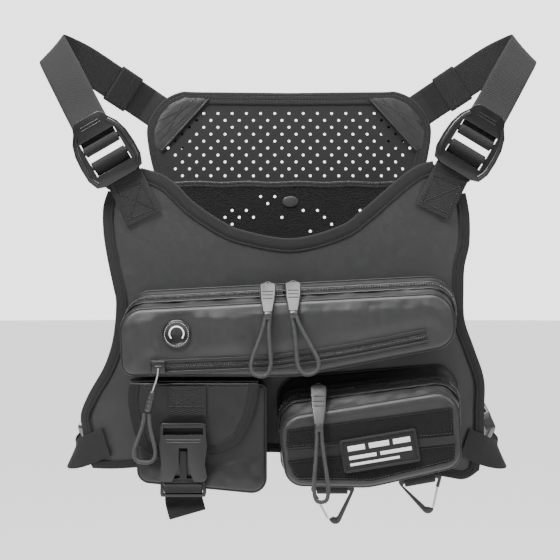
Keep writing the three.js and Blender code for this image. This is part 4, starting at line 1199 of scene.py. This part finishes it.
def gusset_line(pocket, share, first=1.775, last=3.725, step=0.02):
    """Along the gusset at a share of its depth: points, the way across, the way out."""
    rear, fore = (Ring(pocket[k], pocket["radii"]) for k in ("back", "front"))
    places = np.arange(first, last + 1e-6, step)
    a, b = rear.line(places), fore.line(places)
    rear3 = on_face(a, POCKET_STEP)
    fore3 = on_face(b, pocket["face"] + pocket["crown"])
    slope = (fore3 - rear3) / np.linalg.norm(fore3 - rear3, axis=1, keepdims=True)
    at = rear3 + (fore3 - rear3) * share
    out = np.cross(ways(at), slope)
    out /= np.linalg.norm(out, axis=1, keepdims=True)
    if out[len(out) // 2][2] < 0:
        out = -out
    return at, slope, out


for name, pocket, node in (("main", MAIN, "main_zip_chain"), ("right", LOWER, "right_zip_chain")):
    share = sum(pocket["chain"]) / 2
    at, slope, out = gusset_line(pocket, share)
    tape = resample(np.hstack([at + out * 0.75, slope]), 2)
    swept(f"{name}_zip_tape", tape[:, :3], tape[:, 3:], slab(14.5, 0.9), ZIP_TAPE, "vest",
          "zip_teeth")
    zip_teeth(f"{name}_zip_teeth", at + out * 1.7, slope, out, "vest", node)
    for lip, away in (("upper", -7.4), ("lower", 7.4)):
        line = resample(np.hstack([at + slope * away + out * 0.9, slope, out]), 2)
        line[:, :3] += line[:, 6:] * 0.18 * np.sin(np.arange(len(line)) * 0.9)[:, None]
        swept(f"{name}_zip_lip_{lip}", line[:, :3], line[:, 3:6], slab(4.6, 1.9, 6), DARK_TRIM_AND_POUCH_SHADE,
              "vest", "coated_cloth", angle=60)
        edge = line[:, :3] + line[:, 3:6] * (-0.2 if away < 0 else 0.2) + line[:, 6:] * 1.0
        stitches(f"{name}_zip_stitches_{lip}", [edge], "vest", pitch=3.0, length=2.2, radius=0.38)

# Piping and puckered seams round the face of each pocket, and where it meets the panel.
for name, pocket in (("main", MAIN), ("right", LOWER), ("pouch", POUCH)):
    fore, rear = Ring(pocket["front"], pocket["radii"]), Ring(pocket["back"], pocket["radii"])
    ring = fore.line(fore.places(2.5))
    y = pocket["face"] + pocket["crown"] * 0.95
    rod(f"{name}_piping", on_face(ring, y), 0.85 if name == "right" else 1.2, DARK_TRIM_AND_POUCH_SHADE, "vest",
        "coated_cloth", (), 8, True)
    row = on_face(offset(ring, pocket["crown"] + 3.2, True), pocket["face"] - 0.05)
    if name != "pouch":
        stitches(f"{name}_face_stitches", [looped(row)], "vest", pitch=3.2,
                 length=2.4, radius=0.4)
    foot = offset(rear.line(rear.places(2.5)), -0.6, True)
    rod(f"{name}_foot_seam", on_face(foot, POCKET_BACK - 0.6), 1.0, DARK_TRIM_AND_POUCH_SHADE, "vest",
        "coated_cloth", (), 8, True)

# The seam down the right pocket's side, beside the pouch.
seam = [(14, -103), (14.5, -118), (15, -123)]
stitches("right_side_seam", [on_face(seam, -50.6)], "vest")

# --------------------------------------------------------- sliders and their pulls
for name in ("main_left", "main_right", "right"):
    moulded(f"{name}_slider", 0.8, GUNMETAL if name == "right" else PLASTIC)
for name, x, pivot, fall, lean, width, drop in PULLS:
    body = name + "_pull"
    moulded(f"{name}_pull", 1.3, RUBBER, 4)
    start = np.array([x, pivot[1] - 4.5, pivot[2] + 1.5])
    end = np.array([x, PULL_Y, pivot[2] - fall])
    way = unit(end - start)
    out = np.array([0, way[2], -way[1]])
    reach = np.linalg.norm(end - start)
    for k, share in enumerate((0.3, 0.42, 0.54)):
        c = start + way * reach * share + out * 2.0
        bar = np.array([c + [u, 0, 0] for u in (-5.2, 5.2)])
        rod(f"{name}_pull_grip_{k}", resample(bar, 2), 0.75, RUBBER, body, "rubber")
    turns = circle(20)
    ring = np.array([start + way * (1.2 - 3.4 * math.cos(t)) + [3.4 * math.sin(t), 0, 0] - out * 0.2
                     for t in turns])
    rod(f"{name}_pull_eye", ring, 1.15, RUBBER, body, "rubber", (), 8, True)
    neck = np.array([end - way * 3.5, end + [0, 0, -1.5], [x, PULL_Y, end[2] - 6]])
    section = [slab(w, t, 6) for w, t in ((8.6, 4.6), (9.6, 5.4), (8.4, 4.8))]
    verts, faces, uvs = sweep(neck, same([1.0, 0, 0], neck), np.array(section))
    sleeve = piece(f"{name}_pull_neck", verts, faces, RUBBER, None)
    rounded(sleeve, 0.7)
    settle(sleeve, RUBBER, body, "rubber")

# -------------------------------------------------------- face zip and the port
line = resample(on_face(FACE_ZIP, -50.45), 2)
swept("face_zip_tape", line, same(UP, line), slab(9, 0.7), ZIP_TAPE, "vest",
      "zip_teeth")
zip_teeth("face_zip_teeth", on_face(FACE_ZIP, -51.2), same(UP, FACE_ZIP), same(OUT, FACE_ZIP),
          "vest", "face_zip_chain", 1.9, 2.2, 1.2)
for lip, away, size in (("upper", 5.6, 3.4), ("lower", -5.2, 2.4)):
    run = offset(resample(FACE_ZIP, 2), away)
    path = on_face(run, -50.7)
    path[:, 1] -= 0.15 * np.sin(np.arange(len(path)) * 1.1)
    swept(f"face_zip_lip_{lip}", path, same(UP, path), slab(size, 1.7, 6), DARK_TRIM_AND_POUCH_SHADE,
          "vest", "coated_cloth", angle=60)
for k, away in enumerate((8.4, -7.6)):
    stitches(f"face_zip_stitches_{k}", [on_face(offset(FACE_ZIP, away), -50.75)], "vest",
             pitch=3.0, length=2.1, radius=0.4)

moulded("face_slider", 0.9, BLACKENED)
wire = spline([[-126, FACE_PULL_Y, -46.2], [-126.2, FACE_PULL_Y, -48.5], [-127.4, FACE_PULL_Y, -56],
               [-131.4, FACE_PULL_Y, -68], [-132.4, FACE_PULL_Y, -71]], 6)
rod("face_wire_link", wire, 0.95, STEEL, "face_wire", None, "face_pull_wire")
a = math.radians(14)
way = np.array([-math.sin(a), 0, -math.cos(a)])
centre = np.array([-134, FACE_PULL_Y, -79])
profile = [(-10.6, 1.6), (-10, 2.5), (-8.6, 2.95), (-3, 3.2), (3, 3.4), (7.5, 3.4), (9.2, 3.1),
           (10, 2.2)]
path = np.array([centre + way * t for t, _ in profile])
section = np.array([round_section(r, 18) for _, r in profile])
swept("face_ferrule", path, same([1.0, 0, 0], path), section, RUBBER, "face_wire",
      None, "face_pull_ferrule")
for k, t in enumerate((-4, 0, 4)):
    c = centre + way * t
    ring = np.array([c + np.array([math.cos(u) * math.cos(a), 0, -math.cos(u) * math.sin(a)]) * 3.3
                     + OUT * math.sin(u) * 3.3 for u in circle(18)])
    rod(f"face_ferrule_rib_{k}", ring, 0.42, RUBBER, "face_wire", "rubber", (), 6, True)

px, pz = PORT
disc = [(0, -0.2), (9.2, -0.2), (10.2, -0.9), (11, -1.25), (12.6, -1.2), (13.6, -0.7), (14, 0),
        (14, 1)]
spins = circle(56)
verts = [(px, -51.7, pz)] + [(px + r * math.cos(t), -51.5 + y, pz + r * math.sin(t))
                             for r, y in disc[1:] for t in spins]
count = len(spins)
faces = [(0, 1 + k, 1 + (k + 1) % count) for k in range(count)]
for i in range(len(disc) - 2):
    faces += [(1 + i * count + k, 1 + i * count + (k + 1) % count,
               1 + (i + 1) * count + (k + 1) % count, 1 + (i + 1) * count + k) for k in range(count)]
faces.append(tuple(1 + (len(disc) - 2) * count + k for k in range(count)))
piece("port_disc", verts, faces, PLASTIC, "vest", None, "earphone_port")
ring = np.array([(px + 11.7 * math.cos(t), -52.75, pz + 11.7 * math.sin(t)) for t in spins])
stitches("port_stitches", [looped(ring)], "vest", PALE_THREAD, 2.3, 1.3, 0.3,
         "rubber")
arc = np.array([(px + 7 * math.sin(t), -51.95, pz + 7 * math.cos(t) + 0.4)
                for t in np.linspace(-2.3, 2.3, 40)])
rod("port_arc", arc, 0.72, PRINT, "vest", "rubber", (), 8)
# The port's cross slit is two dark bars laid on the disc, not cut: painted shade for the opening.
for k, (u, v) in enumerate(((1, 0), (0, 1))):
    bar = np.array([(px + u * t, -51.75, pz + v * t) for t in (-4.4, 4.4)])
    rod(f"port_slit_shade_{k}", resample(bar, 1), 0.4, SLIT_SHADE, "vest", "rubber", (), 6)

# -------------------------------------------------------------------- flap pouch
# The pouch's top cover takes the darker coated copy: partly a more matte cloth, partly painted shade
# over the low pouch.
moulded("pouch_top_cover", 0.9, DARK_TRIM_AND_POUCH_SHADE)
FLAP_WEB_X = -98.5
flap_left = spline([[-156, -63], [-157, -82], [-151, -110], [-143, -127], [-125, -136]], 8)
flap_right = spline([[-66, -132], [-48, -122], [-37, -104], [-30, -84], [-27, -63]], 8)
flap_run = np.vstack([flap_left, flap_right])
edge = resample(flap_run, 3)
flap_outline = offset(np.vstack([edge, resample(np.array([edge[-1], edge[0]]), 4)[1:-1]]), 1.5, True)


def flap_front(p):
    calm = ease(edge_distance(p, flap_outline) / 16)
    strap = ease((np.abs(p[:, 0] - FLAP_WEB_X) - WEBBING / 2) / 8)
    folds = 0.9 * ripple(p, 11, 2.2, (1, 1.5)) + 0.5 * ripple(p, 26, 7.0)
    return -46.7 + calm * strap * folds


# The flap in the darker coated copy: partly a more matte cloth, partly painted shade over the low
# pouch.
flap_sheet = cloth("flap_cloth", flap_outline, flap_front, 1.9, DARK_TRIM_AND_POUCH_SHADE, "flap", None, "pouch_flap",
                   3.2)
binding("flap_tape", flap_run, 11, "flap_binding", -47.7, -44.3, False)
line = np.array([(FLAP_WEB_X, -48.75, z) for z in np.linspace(-64.5, -93, 12)])
band("flap_web", line, same([1.0, 0, 0], line), WEBBING, WEB, "flap", None, "flap_webbing")
box_and_cross("flap_box", (FLAP_WEB_X, -49.65, -76), (1, 0, 0), (0, 0, 1), 15.5, 8.5, "flap")
rows = on_face([(-150, -66.5), (-30, -66.5)], -46.95)
stitches("flap_hinge_stitches", [rows, rows + [0, 0, 3]], "flap")
rod("flap_hinge_piping", resample(on_face([(-154, -62.6), (-29, -62.6)], -46.2), 3), 1.2, DARK_TRIM_AND_POUCH_SHADE,
    "flap", "coated_cloth")

moulded("pouch_buckle_socket", 1.2, PLASTIC, 4)
moulded("pouch_buckle_plug", 1.0, PLASTIC)
BUCKLE = np.array([-101.5, -49.6, -157.0])
for k, z in enumerate((38.5, 41.0)):
    bar = np.array([BUCKLE + [u, -11.1, z] for u in (-17, 17)])
    rod(f"buckle_rib_{k}", resample(bar, 3), 0.6, PLASTIC, "flap", "plastic")
round_ = [[6, -1.8], [5.4, -3], [0, -3], [-4.7, -3.1], [-5.8, -4.4], [-5.8, -8.6], [-4.7, -9.9],
          [0, -10], [5.4, -10.4], [6.6, -13], [6, -19], [3.5, -26], [3, -33]]
stops = []
for i, (y, z) in enumerate(round_):
    drift = max(0, i - 10)
    stops.append((BUCKLE[0] + 2 * drift, -55.1 + y, BUCKLE[2] + z, 1, 0, -0.13 * drift))
line = spline(stops, 6)
band("pouch_web", line[:, :3], line[:, 3:], WEBBING - 1, WEB, "flap_plug", None, "pouch_strap",
     step=1.2)

# ---------------------------------------------------- face of the right pocket
for name, outline, rows in (
        ("upper", [(-1, -125), (163, -112), (162, -85), (0, -107)], [(2, -122.5), (160, -109.8)]),
        ("lower", [(10, -156), (84, -157), (164, -137), (165, -121), (0, -138)], None)):
    field = resample(np.array(outline, float), 3, True)
    cloth(f"fleece_{name}", field,
          lambda p, f=field: -51.65 + 0.6 * (1 - ease(edge_distance(p, f) / 2.2))
          + 0.18 * ripple(p, 3.0, 1.0), 1.3, FLEECE, "vest", None, f"loop_field_{name}", 2.6)
    border = offset(field, 1.6, True)
    stitches(f"fleece_stitches_{name}", [on_face(looped(border), -51.75)], "vest",
             pitch=3.2, length=2.4, radius=0.38)
strip = resample(np.array([(1, -131.6), (60, -127.3), (165, -116.6)]), 3)
band("field_ribbon", on_face(strip, -51.0), same([-0.08, 0, 1.0], strip), 8.6, ZIP_TAPE,
     "vest", "binding_tape", (), 1.0)

PATCH_TILT = 9.5
a = math.radians(PATCH_TILT)
tilt = lambda u, v: turned(u, v, PATCH_TILT, 91, -127.5)
outline = Ring([(38, -16.5), (38, 16.5), (-38, 16.5), (-38, -16.5)], [3, 3, 3, 3])
patch = np.array([tilt(u, v) for u, v in outline.line(outline.places(1.5))])
cloth("patch_cloth", patch,
      lambda p: -54.2 + 0.35 * (1 - ease(edge_distance(p, patch) / 1.2)), 2.1, PATCH, "patch", None,
      "name_patch", 3)
border = offset(patch, 1.5, True)
rod("patch_border", on_face(border, -54.3), 1.25, PATCH, "patch", "patch_cloth", (), 8, True)
bars = [(-31, -14, 7, 5.2), (-10, 10, 7, 5.2), (14, 31, 7, 5.2), (-31, -4, -2.2, 3.6),
        (0, 31, -2.2, 3.6), (-31, 18, -8.8, 2.6)]
for k, (u0, u1, v, h) in enumerate(bars):
    row = resample(on_face([tilt(u0, v), tilt(u1, v)], -54.45), 2)
    band(f"patch_bar_{k}", row, same([-math.sin(a), 0, math.cos(a)], row), h, PALE_THREAD,
         "patch", "patch_cloth", (), 0.7, 2)

# ------------------------------------------------------------------- snap hooks
HOOK_Y, LOOP_RADIUS = -14, 5.2
HOOKS = [("left", 45.5, -169.5, 0, [(-14.6, -12), (-4.2, -31)]),
         ("right", 133.5, -160, 10, [(16.2, -12), (8.6, -31)])]
for name, x, z, degrees, gate in HOOKS:
    here = lambda u, y, v: on_face([turned(u, v, degrees, x, z)], y)[0]
    moulded(f"snap_hook_{name}", 2.0, PLASTIC, 4)
    (u0, v0), (u1, v1) = gate
    t = np.linspace(0.015, 0.985, 12)
    length = math.hypot(u1 - u0, v1 - v0)
    su = (v1 - v0) / length
    sv = -(u1 - u0) / length
    ring = []
    for s in (0.62, -0.62):
        ring += [here(u0 + (u1 - u0) * k + su * s, HOOK_Y, v0 + (v1 - v0) * k + sv * s)
                 for k in (t if s > 0 else t[::-1])]
    rod(f"gate_wire_{name}", np.array(ring), 0.55, STEEL, f"gate_{name}", None,
        f"hook_gate_{name}", 8, True)
    pin = np.array([here(u0, HOOK_Y, v0) + OUT * k for k in (-2.9, 2.9)])
    rod(f"gate_pin_{name}", resample(pin, 1), 0.9, STEEL, f"gate_{name}", "wire", (), 12)
    loop = [(-LOOP_RADIUS, 8)] + [(-LOOP_RADIUS * math.cos(t), -LOOP_RADIUS * math.sin(t))
                                  for t in np.linspace(0, math.pi, 13)] + [(LOOP_RADIUS, 8)]
    path = np.array([here(0, HOOK_Y + y, v) for y, v in loop])
    across = here(1, 0, 0) - here(0, 0, 0)
    band(f"hook_web_{name}", path, same(across, path), 31, WEB, "vest", None,
         f"hook_loop_{name}", step=1.0)
    row = np.array([here(u, HOOK_Y - LOOP_RADIUS - 0.95, 5.6) for u in (-13.5, 13.5)])
    stitches(f"hook_web_stitches_{name}", [row], "vest", pitch=2.8, length=2.1)

# ----------------------------------------------------------------- side straps
for side in SIDES:
    name, s, edge_x = side["name"], side["sign"], side["edge"]
    stops = []
    for x, z, clear in ((edge_x - 24, -125, .6), (edge_x - 11, -131, .8), (edge_x, -136, 1.4)):
        stops.append((s * x, float(wing_back(np.array(x))) - 6.4 - clear, z, s * .405,
                      .81 * WING_CURVE * (x - WING_START), -.914))
    for x, y, z in ((220, 22, -140.5), (220, 33, -137), (213, 40, -127)):
        stops.append((s * x, y, z, s * .405, 0, -.914))
    line = spline(stops, 6)
    band(f"side_stub_{name}", line[:, :3], line[:, 3:], SIDE_WEBBING, WEB, "vest", None,
         f"side_web_{name}")
    moulded(f"side_socket_{name}", 1.1, PLASTIC)
    moulded(f"side_plug_{name}", 0.9, PLASTIC)
    up = np.array([-s * .29987, .54975, .77965])
    wide = unit(np.cross(up, [s, 0, 0]))
    mouth = np.array([s * 213, 40, -127]) + 48 * up
    begin = mouth + up * 16.5
    points = [begin, begin + up * 26] + [np.array([BACK_X + s * x, y, z]) for x, y, z in
                                         ((160, 130, -20), (146, 140, -2), (126, 141, 24),
                                          (106, 141, 50))]
    route = resample(spline(points, 12), 2.5)
    share = np.linspace(0, 1, len(route))[:, None]
    on_back = np.array([s * .79, 0, .61])
    across = wide + (on_back - wide) * np.minimum(1, 1.5 * share)
    body = f"side_plug_{name}"
    verts, faces, uvs = sweep(route, across, slab(SIDE_WEBBING, WEB_THICK))
    strap = piece(f"side_strap_web_{name}", verts, faces, WEB, None, "webbing", (), uvs)
    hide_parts(f"side_strap_{name}")
    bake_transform(strap)
    box_and_cross(f"side_box_{name}", np.array([BACK_X + s * 114, 142.2, 40]), on_back,
                  np.array([-s * .61, 0, .79]), 10.5, 10, "vest")
